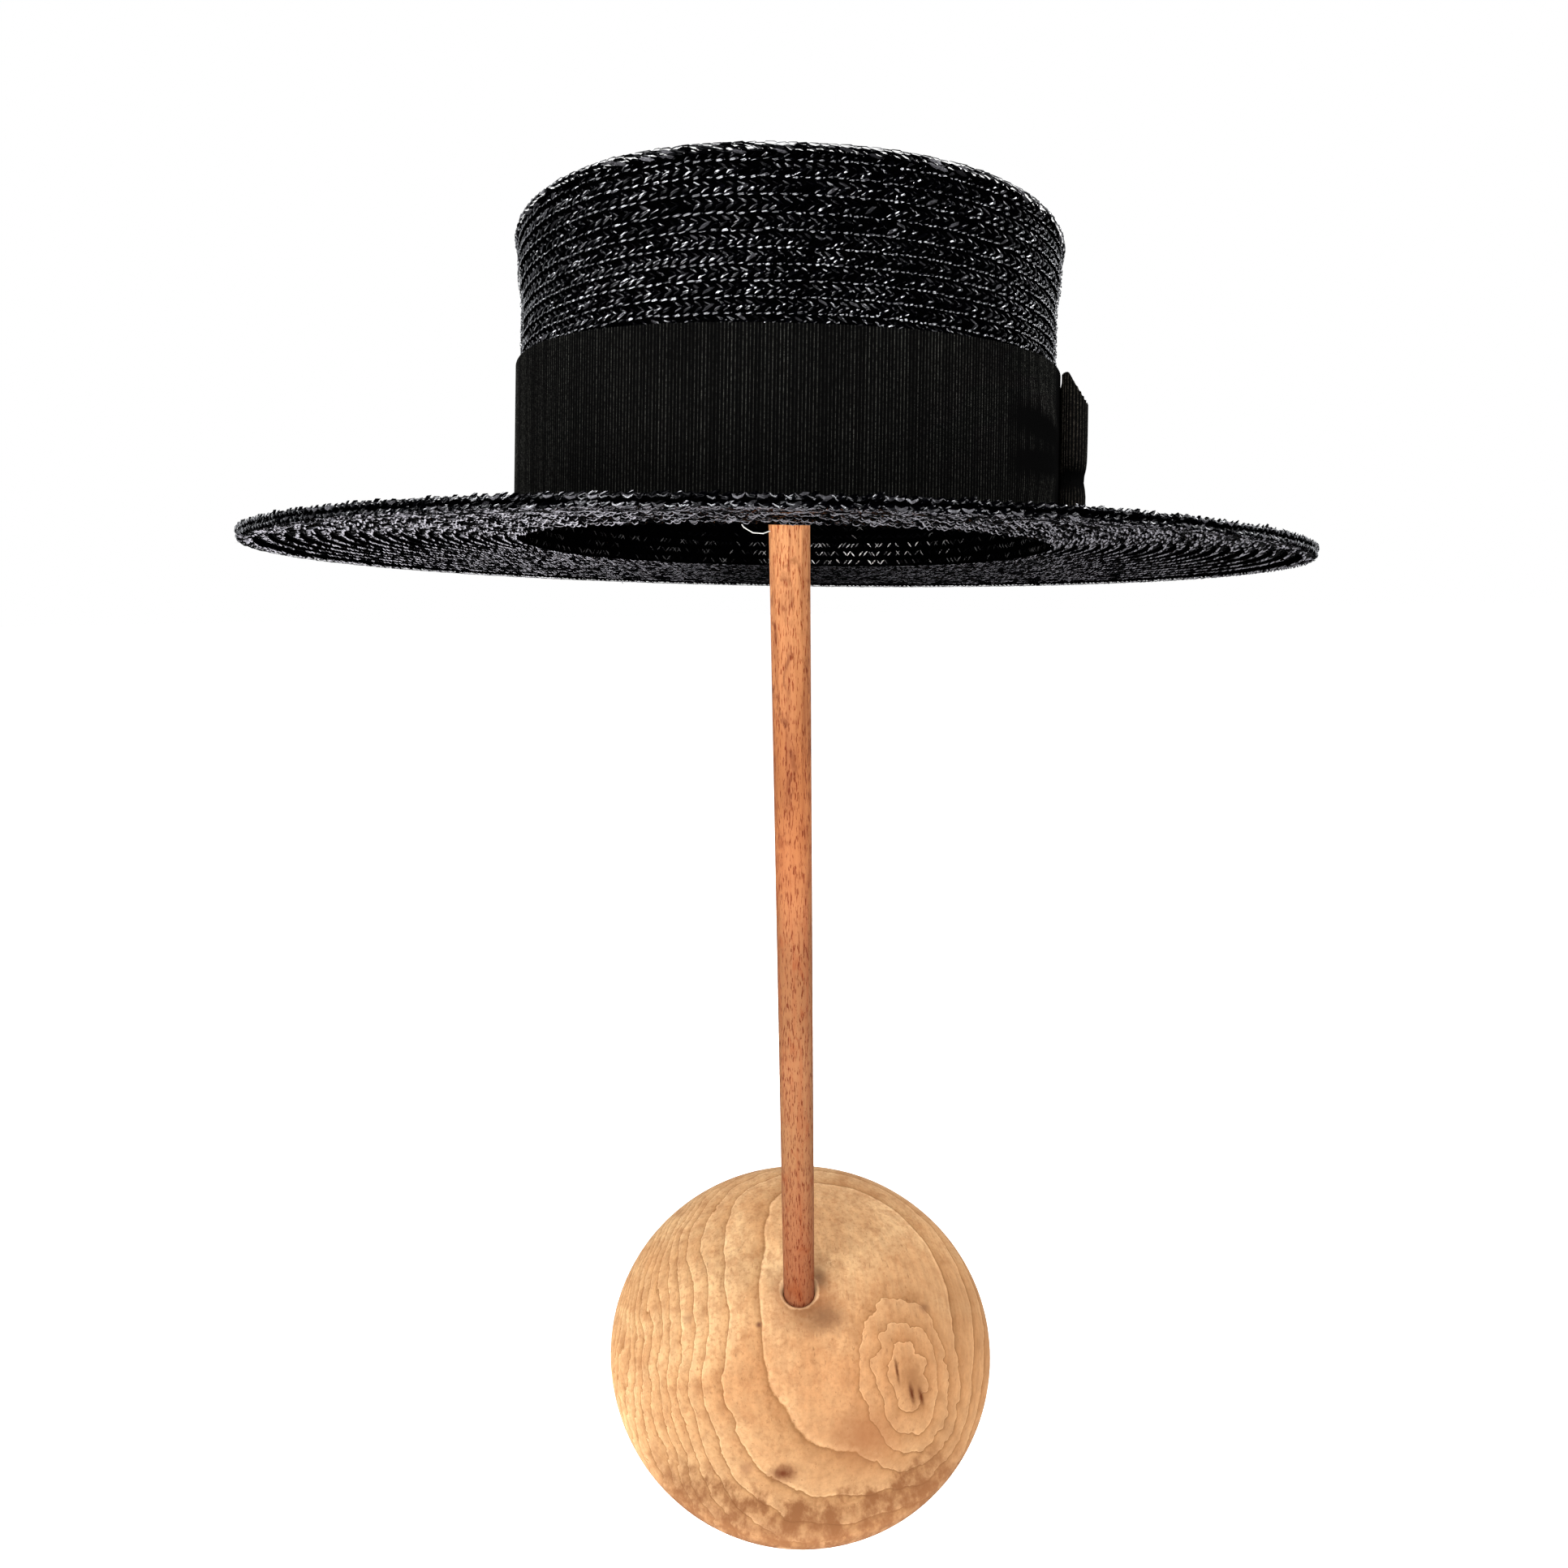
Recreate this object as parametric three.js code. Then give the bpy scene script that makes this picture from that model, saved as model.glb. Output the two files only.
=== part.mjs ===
// A black straw boater hat resting on a turned wooden hat stand.
// Millimetres, +Z up. The origin is the centre of the stand's flat underside.
// The long axis of the oval crown runs along X, and the bow sits at its +X end.

import * as THREE from 'three';
import { mergeVertices } from 'three/addons/utils/BufferGeometryUtils.js';

// ---- Driving dimensions ---------------------------------------------------------------

const GAP = 0.3;                 // clearance between pieces that touch on the real object

const HAT_PLACE = { x: -1.4, y: 0, z: 388.6 };    // centre of the crown's base, on the brim's top face
const HAT_LEAN = { nod: -1.4, side: 1.8 };        // degrees about X, then about Y: it rests a little askew

const OVAL_POWER = 2.25;         // superellipse power of the head oval: 2 would be an ellipse
const OVAL_SHORTER = 12.8;       // how much less the oval's half width is than its half length
const SEGMENTS = 40;             // facets round the crown and brim

const BRAID_PITCH = 3.9;         // height of braid that each row shows
const ROW_STEP = 0.7;            // how far the free edge of a row stands proud of the next
const ROW_NOSE = 0.3;            // height over which a row's free edge rounds in

const CROWN = {
  height: 89.6,                  // from the brim's top face to the top of the tip
  baseHalfLength: 96.9,          // half length of the oval outside the straw, at the brim
  topHalfLength: 90.0,           // the same just under the tip, before the flare
  wall: 1.9,
  flare: 1.2,                    // the top rows stand out this far, stretched over the tip's edge
  flareFrom: 71,                 // heights between which the flare grows
  flareTo: 80,
};
const TIP = {
  thickness: 1.7,
  halfLength: 91.9,
  edgeRun: 2.0,                  // the outermost row curves over within this width
  edgeDrop: 1.3,                 // and down by this much
  edgeRound: 0.5,                // its free edge rounds in underneath
  rowsShown: [0.96, 0.78, 0.6, 0.42, 0.24],     // rows left as steps, as shares of the half length
};
const BRIM = {
  halfLength: 174.0,
  halfWidth: 161.2,
  power: 2,                      // the rim is a plain ellipse
  shiftX: -1.7,                  // the brim is a little longer at the end away from the bow
  thickness: 2.1,
  rimThickness: 3.6,             // two braids one over the other
  rimWidth: 5,
  rimRound: 0.6,                 // how much of the rim's extra thickness is left at its very edge
  rowTread: 0.6,                 // depth of the steps underneath, as a share of the braid's step
  droop: 6.6,                    // how far the rim lies below the inner edge
};
const BAND = { thickness: 1.0, bottom: 0.5, height: 48.0, rise: 4.2 };
const BOW = {
  loopLength: 40,                // from the knot to the fold of each loop
  depth: 7.7,                    // from the inner leaf's inside to the outer leaf's outside
  thickness: 1.0,
  bottom: 1.2,
  innerTop: 51.3,                // the leaf against the band
  outerTop: 42.2,                // the outer leaf, lower because the loop slants
  knotWidth: 13,
  knotChamfer: 0.24,             // corner of the knot's inside; its outside follows
  tuck: 1.3,                     // how far each loop runs in under the knot
  waist: 0.62,                   // height of the loops at the knot, as a share of their full height
  leafPinch: 0.45,               // distance between a loop's two leaves at the knot, as a share
  opensBy: 1.6,                  // how fast the leaves part from there: 1 would be at the fold
  spreadPower: 0.7,              // how fast the loop gets its height: 1 would be evenly
  knotClearance: 1.9,            // how far the bow stands off the band at the knot
  endClearance: 0.8,             // and at the fold of each loop
};
const DOWEL = { radius: 8, socketDepth: 17, facets: 32 };
const BASE = {
  radius: 95.6,
  height: 24,
  widestAt: 11,                  // height of the widest circle above the underside
  footRadius: 84,
  domePower: 2.2,                // superellipse power of the dome: a little fuller than an ellipse
  countersink: 1.4,
  facets: 48,
};

// ---- Shared construction --------------------------------------------------------------

const radians = THREE.MathUtils.degToRad;
const lerp = THREE.MathUtils.lerp;

// One point of an oval with the given half length (X) and half width (Y).
function ovalPoint(halfLength, halfWidth, angle, ovalPower = OVAL_POWER) {
  const c = Math.cos(angle);
  const s = Math.sin(angle);
  const power = 2 / ovalPower;
  return [halfLength * Math.sign(c) * Math.abs(c) ** power, halfWidth * Math.sign(s) * Math.abs(s) ** power];
}

// Half length of the crown's straw surface at a height above the brim.
function crownHalfLength(z) {
  const taper = lerp(CROWN.baseHalfLength, CROWN.topHalfLength, z / CROWN.height);
  return taper + CROWN.flare * THREE.MathUtils.smoothstep(z, CROWN.flareFrom, CROWN.flareTo);
}

// Geometry from points and triangles, with its coincident points merged and its normals set.
function solidFrom(points, triangles) {
  const geometry = new THREE.BufferGeometry();
  geometry.setAttribute('position', new THREE.Float32BufferAttribute(points.flat(), 3));
  geometry.setIndex(triangles.flat());
  const merged = mergeVertices(geometry, 1e-4);
  merged.computeVertexNormals();
  return merged;
}

// A closed skin over rings of equal length. Each ring runs anticlockwise seen from above, and
// the rings go up the outside and down the inside. Where the loop of rings isn't closed, its
// first and last rings are filled with a fan to their centres.
function skin(rings, closedLoop) {
  const count = rings[0].length;
  const points = rings.flat();
  const triangles = [];
  const steps = closedLoop ? rings.length : rings.length - 1;
  for (let k = 0; k < steps; k += 1) {
    const lower = k * count;
    const upper = ((k + 1) % rings.length) * count;
    for (let i = 0; i < count; i += 1) {
      const j = (i + 1) % count;
      triangles.push([lower + i, lower + j, upper + j], [lower + i, upper + j, upper + i]);
    }
  }
  if (!closedLoop) {
    capFan(rings[0], 0, true, points, triangles);
    capFan(rings[rings.length - 1], (rings.length - 1) * count, false, points, triangles);
  }
  return solidFrom(points, triangles);
}

function capFan(ring, first, facesDown, points, triangles) {
  const count = ring.length;
  const centre = [0, 1, 2].map((axis) => ring.reduce((sum, p) => sum + p[axis], 0) / count);
  const middle = points.push(centre) - 1;
  for (let i = 0; i < count; i += 1) {
    const j = (i + 1) % count;
    triangles.push(facesDown ? [middle, first + j, first + i] : [middle, first + i, first + j]);
  }
}

// An oval ring at a height. The half width follows from the half length unless it is given.
function ovalRing(halfLength, z, halfWidth = halfLength - OVAL_SHORTER, shiftX = 0, power = OVAL_POWER) {
  const ring = [];
  for (let i = 0; i < SEGMENTS; i += 1) {
    const [x, y] = ovalPoint(halfLength, halfWidth, (i / SEGMENTS) * 2 * Math.PI, power);
    ring.push([x + shiftX, y, z]);
  }
  return ring;
}

function makeMesh(name, geometry, material) {
  const mesh = new THREE.Mesh(geometry, material);
  mesh.name = name;
  return mesh;
}

const straw = new THREE.MeshStandardMaterial({ color: 0x141418, roughness: 0.32, metalness: 0 });
const ribbon = new THREE.MeshStandardMaterial({ color: 0x121212, roughness: 0.85, metalness: 0 });
const dowelWood = new THREE.MeshStandardMaterial({ color: 0xc47c50, roughness: 0.6, metalness: 0 });
const baseWood = new THREE.MeshStandardMaterial({ color: 0xe0b27a, roughness: 0.65, metalness: 0 });

// ---- Crown ----------------------------------------------------------------------------

// The flat tip: its outermost turn of braid curves down and overhangs the side a little.
function crownTip() {
  const top = CROWN.height;
  const rings = [ovalRing(TIP.halfLength - TIP.edgeRound, top - TIP.thickness)];
  for (const turn of [0, 30, 60, 90].map(radians)) {
    const out = TIP.halfLength - TIP.edgeRun * (1 - Math.cos(turn));
    rings.push(ovalRing(out, top - TIP.edgeDrop * (1 - Math.sin(turn))));
  }
  for (const share of TIP.rowsShown) {
    const out = TIP.halfLength * share;
    const halfWidth = out - OVAL_SHORTER * share;
    rings.push(ovalRing(out, top - ROW_STEP / 2, halfWidth));
    rings.push(ovalRing(out - ROW_NOSE, top, halfWidth - ROW_NOSE));
  }
  return skin(rings, false);
}

// The wall of the crown: smooth under the ribbon, shingled rows above it.
function crownSide() {
  const topZ = CROWN.height - TIP.thickness - GAP;
  const bottomZ = -BRIM.thickness;
  const rings = [topZ, CROWN.flareTo, CROWN.flareFrom, bottomZ].map((z) => (
    ovalRing(crownHalfLength(z) - CROWN.wall, z)
  ));
  rings.push(ovalRing(crownHalfLength(bottomZ), bottomZ));
  const rows = Math.floor((CROWN.height - BAND.height) / BRAID_PITCH);
  for (let row = rows; row > 0; row -= 1) {
    const freeEdge = CROWN.height - row * BRAID_PITCH;
    rings.push(ovalRing(crownHalfLength(freeEdge) - ROW_STEP, freeEdge));
    rings.push(ovalRing(crownHalfLength(freeEdge), freeEdge + ROW_NOSE));
  }
  rings.push(ovalRing(crownHalfLength(topZ) - ROW_STEP, topZ));
  return skin(rings, true);
}

// ---- Brim -----------------------------------------------------------------------------

// A ring of the brim at a share of the way from the crown to the rim, on a face offset from
// the brim's top surface. The outline blends from the crown's oval to the rim's.
function brimRing(share, below) {
  const inner = crownHalfLength(-BRIM.thickness) + GAP;
  const halfLength = lerp(inner, BRIM.halfLength, share);
  const halfWidth = lerp(inner - OVAL_SHORTER, BRIM.halfWidth, share);
  const z = -BRIM.droop * share ** 2 - below;
  return ovalRing(halfLength, z, halfWidth, BRIM.shiftX * share, lerp(OVAL_POWER, BRIM.power, share));
}

function brim() {
  const width = BRIM.halfLength - crownHalfLength(0);
  const rimShare = 1 - BRIM.rimWidth / width;
  const rimRise = (BRIM.rimThickness - BRIM.thickness) / 2;
  const rows = Math.floor((width - BRIM.rimWidth) / BRAID_PITCH);
  const nose = ROW_NOSE / width;
  const rings = [brimRing(0, BRIM.thickness)];
  for (let row = 1; row <= rows; row += 1) {
    const share = (rimShare * row) / rows;
    rings.push(brimRing(share - nose, BRIM.thickness - ROW_STEP * BRIM.rowTread));
    rings.push(brimRing(share, BRIM.thickness));
  }
  rings.push(brimRing(rimShare + nose, BRIM.thickness + rimRise));
  rings.push(brimRing(1, BRIM.thickness + rimRise * BRIM.rimRound));
  rings.push(brimRing(1, -rimRise * BRIM.rimRound));
  rings.push(brimRing(rimShare, -rimRise));
  for (const share of [rimShare - nose, rimShare * 0.67, rimShare * 0.33, 0]) rings.push(brimRing(share, 0));
  return skin(rings, true);
}

// ---- Ribbon ---------------------------------------------------------------------------

// Soft ridges of the band that run in towards the middle of the bow: the height of each, as a
// share of the band's, where it meets the bow and at its far end, and how far it stands out.
const FOLDS = [
  { near: 0.60, far: 0.78, depth: 0.8 },
  { near: 0.50, far: 0.50, depth: 0.5 },
  { near: 0.40, far: 0.24, depth: 0.8 },
];
const FOLD_FROM = 24;            // degrees from +X where the ridges start and end
const FOLD_TO = 54;
const FOLD_WIDTH = 0.06;         // half width of a ridge at the bow, as a share of the band's height

// How far the band stands off the straw at an angle (degrees from +X) and a share of its height.
function bandSwell(angle, share) {
  const along = (Math.abs(angle) - FOLD_FROM) / (FOLD_TO - FOLD_FROM);
  if (along <= 0 || along >= 1) return 0;
  let swell = 0;
  for (const fold of FOLDS) {
    const across = (share - lerp(fold.near, fold.far, along)) / (FOLD_WIDTH * (1 + along));
    swell += fold.depth * Math.sin(Math.PI * along) * Math.exp(-across * across);
  }
  return swell;
}

// Close steps where the ridges are, and wider ones round the rest.
function bandAngles() {
  const angles = [];
  for (let a = -FOLD_TO; a < FOLD_TO; a += 4) angles.push(a);
  for (let a = FOLD_TO; a < 360 - FOLD_TO; a += 7) angles.push(a);
  return angles;
}

function hatBand() {
  const angles = bandAngles();
  const ring = (share, offset, swells) => angles.map((degrees) => {
    const angle = radians(degrees);
    const top = BAND.height + BAND.rise * Math.cos(angle) ** 2;
    const z = lerp(BAND.bottom, top, share);
    const swell = swells ? bandSwell(degrees > 180 ? degrees - 360 : degrees, share) : 0;
    const out = crownHalfLength(z) + GAP + offset + swell;
    const [x, y] = ovalPoint(out, out - OVAL_SHORTER, angle);
    return [x, y, z];
  });
  const shares = [0, 0.14, 0.25, 0.34, 0.42, 0.5, 0.58, 0.66, 0.76, 0.88, 1];
  const inside = [ring(1, 0, false), ring(0, 0, false)];
  const outside = shares.map((share) => ring(share, BAND.thickness, true));
  return skin([...inside, ...outside], true);
}

// ---- Bow ------------------------------------------------------------------------------

const bowMiddle = lerp(BOW.bottom, BOW.innerTop, 0.5);

// Local frame of the bow: s runs along Y from the knot, d is the distance out from the band.
function bowPoint(s, d, z) {
  const clearance = lerp(BOW.knotClearance, BOW.endClearance, Math.abs(s) / BOW.loopLength);
  const out = crownHalfLength(z) + GAP + BAND.thickness + clearance;
  const halfWidth = out - OVAL_SHORTER;
  const bend = 1 - Math.min(1, Math.abs(s) / halfWidth) ** OVAL_POWER;
  return [out * bend ** (1 / OVAL_POWER) + d, s, z];
}

// One loop: a strip of ribbon that runs out from the knot against the band, turns over at its
// end fold, and comes back on the outside. Its height narrows to the waist at the knot.
function bowLoop(direction) {
  const half = BOW.thickness / 2;
  const turn = (BOW.depth - BOW.thickness) / 2;
  const straight = BOW.loopLength - turn;
  const mouth = BOW.knotWidth / 2 + GAP;
  const between = [0.35, 0.7].map((share) => lerp(mouth, straight, share));
  const runs = [mouth - BOW.tuck, mouth, ...between, straight];
  const openness = (s) => THREE.MathUtils.clamp((s - mouth) / (straight - mouth), 0, 1);
  const route = runs.map((s) => ({ s, d: half, leaf: 0 }));
  for (const degrees of [30, 60, 90, 120, 150]) {
    const a = radians(degrees);
    const d = half + turn * (1 - Math.cos(a));
    route.push({ s: straight + turn * Math.sin(a), d, leaf: degrees / 180 });
  }
  for (const s of runs.toReversed()) {
    const pinch = lerp(BOW.leafPinch, 1, Math.min(1, openness(s) * BOW.opensBy));
    route.push({ s, d: half + 2 * turn * pinch, leaf: 1 });
  }
  const strip = (offset) => route.map((spot, k) => {
    const before = route[Math.max(0, k - 1)];
    const after = route[Math.min(route.length - 1, k + 1)];
    const run = Math.hypot(after.s - before.s, after.d - before.d);
    const s = spot.s + ((after.d - before.d) / run) * offset;
    const d = spot.d - ((after.s - before.s) / run) * offset;
    const spread = lerp(BOW.waist, 1, openness(spot.s) ** BOW.spreadPower);
    const low = lerp(bowMiddle, BOW.bottom, spread);
    const high = lerp(bowMiddle, lerp(BOW.innerTop, BOW.outerTop, spot.leaf * openness(spot.s)), spread);
    return [0, 0.33, 0.67, 1].map((h) => bowPoint(s * direction, d, lerp(low, high, h)));
  });
  return sheetSolid(strip(-half), strip(half), direction < 0);
}

// A closed solid between two grids of points that face each other.
function sheetSolid(front, back, flipped) {
  const rows = front.length;
  const columns = front[0].length;
  const points = [...front.flat(), ...back.flat()];
  const at = (side, r, c) => side * rows * columns + r * columns + c;
  const triangles = [];
  const quad = (a, b, c, d) => {
    triangles.push(flipped ? [a, c, b] : [a, b, c], flipped ? [a, d, c] : [a, c, d]);
  };
  for (let r = 0; r < rows - 1; r += 1) {
    for (let c = 0; c < columns - 1; c += 1) {
      quad(at(0, r, c), at(0, r + 1, c), at(0, r + 1, c + 1), at(0, r, c + 1));
      quad(at(1, r, c), at(1, r, c + 1), at(1, r + 1, c + 1), at(1, r + 1, c));
    }
    quad(at(0, r, 0), at(1, r, 0), at(1, r + 1, 0), at(0, r + 1, 0));
    quad(at(0, r, columns - 1), at(0, r + 1, columns - 1), at(1, r + 1, columns - 1), at(1, r, columns - 1));
  }
  for (let c = 0; c < columns - 1; c += 1) {
    quad(at(0, 0, c), at(0, 0, c + 1), at(1, 0, c + 1), at(1, 0, c));
    quad(at(0, rows - 1, c), at(1, rows - 1, c), at(1, rows - 1, c + 1), at(0, rows - 1, c + 1));
  }
  return solidFrom(points, triangles);
}

// The knot: a flat tube of ribbon, round the narrow middle of both loops.
function bowKnot() {
  const halfHeight = (bowMiddle - BOW.bottom) * BOW.waist + GAP;
  const outerLeaf = BOW.thickness + (BOW.depth - BOW.thickness) * BOW.leafPinch;
  const section = (grow) => {
    const low = -GAP - grow;
    const high = outerLeaf + GAP + grow;
    const reach = halfHeight + grow;
    const corner = BOW.knotChamfer + grow;
    const outline = [
      [low, corner - reach], [low + corner, -reach], [high - corner, -reach], [high, corner - reach],
      [high, reach - corner], [high - corner, reach], [low + corner, reach], [low, reach - corner],
    ];
    return outline.map(([d, z]) => new THREE.Vector2(d, bowMiddle + z));
  };
  const shape = new THREE.Shape(section(BOW.thickness));
  shape.holes.push(new THREE.Path(section(0)));
  const geometry = new THREE.ExtrudeGeometry(shape, { depth: BOW.knotWidth, bevelEnabled: false });
  geometry.deleteAttribute('normal');
  geometry.deleteAttribute('uv');
  const place = geometry.getAttribute('position');
  for (let i = 0; i < place.count; i += 1) {
    const point = bowPoint(BOW.knotWidth / 2 - place.getZ(i), place.getX(i), place.getY(i));
    place.setXYZ(i, ...point);
  }
  const merged = mergeVertices(geometry, 1e-4);
  merged.computeVertexNormals();
  return merged;
}

// ---- Stand ----------------------------------------------------------------------------

function roundRing(radius, z, facets) {
  const ring = [];
  for (let i = 0; i < facets; i += 1) {
    const angle = (i / facets) * 2 * Math.PI;
    ring.push([radius * Math.cos(angle), radius * Math.sin(angle), z]);
  }
  return ring;
}

// A rod from the floor of the base's socket to just under the crown's tip.
function standDowel(hatMatrix) {
  const seat = new THREE.Vector3(0, 0, CROWN.height - TIP.thickness).applyMatrix4(hatMatrix);
  const up = new THREE.Vector3(0, 0, 1).transformDirection(hatMatrix);
  const seatHeight = seat.z + (up.x * seat.x + up.y * seat.y) / up.z;
  const slope = Math.hypot(up.x, up.y) / up.z;
  const top = seatHeight - DOWEL.radius * slope - GAP;
  const bottom = BASE.height - DOWEL.socketDepth + GAP;
  const rings = [bottom, top].map((z) => roundRing(DOWEL.radius, z, DOWEL.facets));
  return skin(rings, false);
}

// A low turned dome on a flat foot, with a countersunk blind socket for the rod.
function standBase() {
  const socket = DOWEL.radius + GAP;
  const mouth = socket + BASE.countersink;
  const rise = BASE.height - BASE.widestAt;
  const power = 2 / BASE.domePower;
  const rings = [];
  for (const degrees of [0, 30, 60, 90]) {
    const a = radians(degrees);
    const out = lerp(BASE.footRadius, BASE.radius, Math.sin(a));
    rings.push(roundRing(out, BASE.widestAt * (1 - Math.cos(a)), BASE.facets));
  }
  for (const degrees of [12, 24, 36, 48, 60, 72, 80]) {
    const a = radians(degrees);
    const out = BASE.radius * Math.cos(a) ** power;
    rings.push(roundRing(out, BASE.widestAt + rise * Math.sin(a) ** power, BASE.facets));
  }
  rings.push(roundRing(mouth, BASE.height, BASE.facets));
  rings.push(roundRing(socket, BASE.height - BASE.countersink, BASE.facets));
  rings.push(roundRing(socket, BASE.height - DOWEL.socketDepth, BASE.facets));
  return skin(rings, false);
}

// ---- The whole thing ------------------------------------------------------------------

const hat = new THREE.Group();
hat.rotation.set(radians(HAT_LEAN.nod), radians(HAT_LEAN.side), 0, 'YXZ');
hat.position.set(HAT_PLACE.x, HAT_PLACE.y, HAT_PLACE.z);
hat.updateMatrix();
hat.add(
  makeMesh('crown_tip', crownTip(), straw),
  makeMesh('crown_side', crownSide(), straw),
  makeMesh('brim', brim(), straw),
  makeMesh('hat_band', hatBand(), ribbon),
  makeMesh('bow_front_loop', bowLoop(-1), ribbon),
  makeMesh('bow_back_loop', bowLoop(1), ribbon),
  makeMesh('bow_knot', bowKnot(), ribbon),
);

const group = new THREE.Group();
group.add(
  hat,
  makeMesh('stand_dowel', standDowel(hat.matrix), dowelWood),
  makeMesh('stand_base', standBase(), baseWood),
);

export default group;
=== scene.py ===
import math

import bpy
import numpy as np
from mathutils import Matrix, Vector


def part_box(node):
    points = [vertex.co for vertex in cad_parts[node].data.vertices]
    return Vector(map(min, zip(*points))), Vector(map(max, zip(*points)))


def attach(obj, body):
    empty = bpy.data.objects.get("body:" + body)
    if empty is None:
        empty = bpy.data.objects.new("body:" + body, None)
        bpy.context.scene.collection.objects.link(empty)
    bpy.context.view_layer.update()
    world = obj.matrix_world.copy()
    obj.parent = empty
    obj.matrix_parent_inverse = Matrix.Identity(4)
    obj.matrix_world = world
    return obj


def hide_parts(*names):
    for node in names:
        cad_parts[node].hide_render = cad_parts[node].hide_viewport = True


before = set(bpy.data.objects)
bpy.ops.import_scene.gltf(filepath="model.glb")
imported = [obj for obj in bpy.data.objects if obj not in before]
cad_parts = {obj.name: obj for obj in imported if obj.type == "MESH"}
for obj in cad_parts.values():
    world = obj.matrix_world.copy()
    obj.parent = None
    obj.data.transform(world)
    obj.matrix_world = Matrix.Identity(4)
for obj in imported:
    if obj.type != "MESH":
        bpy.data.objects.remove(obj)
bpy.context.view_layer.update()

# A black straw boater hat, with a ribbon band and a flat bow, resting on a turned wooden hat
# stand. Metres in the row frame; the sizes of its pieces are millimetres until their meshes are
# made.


# ---- The view, the floor and the light --------------------------------------------------
# A plain white studio: a pale floor that runs into a white backdrop, a long soft light above the
# front left, a shorter one to the right, a low one that reaches under the brim, and a weak one
# behind for the far side.

EYE = (-0.01173, -0.2909, 0.3700)
LOOK_DOWN, LOOK_RIGHT, TILT = (math.radians(a) for a in (14.7, 1.6, -0.9))
LENS_MM, SENSOR_MM = 16.46, 36.0
HAT_MIDDLE = (0, 0, 0.40)
FLOOR_SIZE, FLOOR_GREY, FLOOR_GLOW = 30.0, 0.86, 0.85
FLOOR_NEAR, FLOOR_FAR = -0.2, 0.3             # between these it changes from one to the other in gloss
FLOOR_NEAR_IN_GLOSS, FLOOR_FAR_IN_GLOSS = 0.03, 0.05
ROOM_LIGHT, DIM_ROOM, BACKDROP = 0.24, 0.006, 1.3


def aim_camera():
    forward = np.array([
        math.sin(LOOK_RIGHT) * math.cos(LOOK_DOWN),
        math.cos(LOOK_RIGHT) * math.cos(LOOK_DOWN),
        -math.sin(LOOK_DOWN),
    ])
    level = np.array([math.cos(LOOK_RIGHT), -math.sin(LOOK_RIGHT), 0])
    upright = np.cross(level, forward)
    right = level * math.cos(TILT) + upright * math.sin(TILT)
    up = upright * math.cos(TILT) - level * math.sin(TILT)
    place = np.eye(4)
    place[:3, 0], place[:3, 1], place[:3, 2], place[:3, 3] = right, up, -forward, EYE
    lens = bpy.data.cameras.new("camera")
    lens.lens = LENS_MM
    lens.sensor_width = SENSOR_MM
    lens.clip_start = 0.01
    camera = bpy.data.objects.new("camera", lens)
    camera.matrix_world = Matrix(place.tolist())
    bpy.context.scene.collection.objects.link(camera)
    bpy.context.scene.camera = camera


def soft_light(name, place, target, size, watts):
    lamp = bpy.data.lights.new(name, "AREA")
    lamp.shape = "RECTANGLE"
    lamp.size, lamp.size_y = size
    lamp.energy = watts
    light = bpy.data.objects.new(name, lamp)
    turn = (Vector(target) - Vector(place)).to_track_quat("-Z", "Y").to_matrix().to_4x4()
    light.matrix_world = Matrix.Translation(place) @ turn
    light.visible_camera = False
    bpy.context.scene.collection.objects.link(light)


def feed(tree, socket, value):
    """Links a socket to another one, or sets its own value."""
    if isinstance(value, bpy.types.NodeSocket):
        tree.links.new(value, socket)
    else:
        socket.default_value = value


def add_node(tree, kind, inputs=None, **settings):
    """A new shader node with its settings and inputs. An input is a value or a socket."""
    made = tree.nodes.new(kind)
    for name, value in settings.items():
        setattr(made, name, value)
    for name, value in (inputs or {}).items():
        feed(tree, made.inputs[name], value)
    return made


def blank_material(name):
    material = bpy.data.materials.new(name)
    material.use_nodes = True
    material.node_tree.nodes.clear()
    return material, material.node_tree


def principled(tree, settings):
    return add_node(tree, "ShaderNodeBsdfPrincipled", settings).outputs[0]


def finish_material(tree, surface):
    add_node(tree, "ShaderNodeOutputMaterial", {"Surface": surface})


def object_place(tree):
    """A point's place on its piece, and that place's X, Y and Z, all in metres."""
    place = add_node(tree, "ShaderNodeTexCoord").outputs["Object"]
    return place, add_node(tree, "ShaderNodeSeparateXYZ", {0: place}).outputs


def even_stretch(tree, value, low, high, to_low, to_high):
    """value taken from the range low..high to another in a straight line, and held at its ends."""
    return add_node(tree, "ShaderNodeMapRange", {
        "Value": value, "From Min": low, "From Max": high, "To Min": to_low, "To Max": to_high,
    }).outputs[0]


def light_of(tree, colour, strength):
    return add_node(tree, "ShaderNodeBackground", {"Color": colour, "Strength": strength}).outputs[0]


def either_light(tree, share, first, second):
    return add_node(tree, "ShaderNodeMixShader", {0: share, 1: first, 2: second}).outputs[0]


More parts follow.
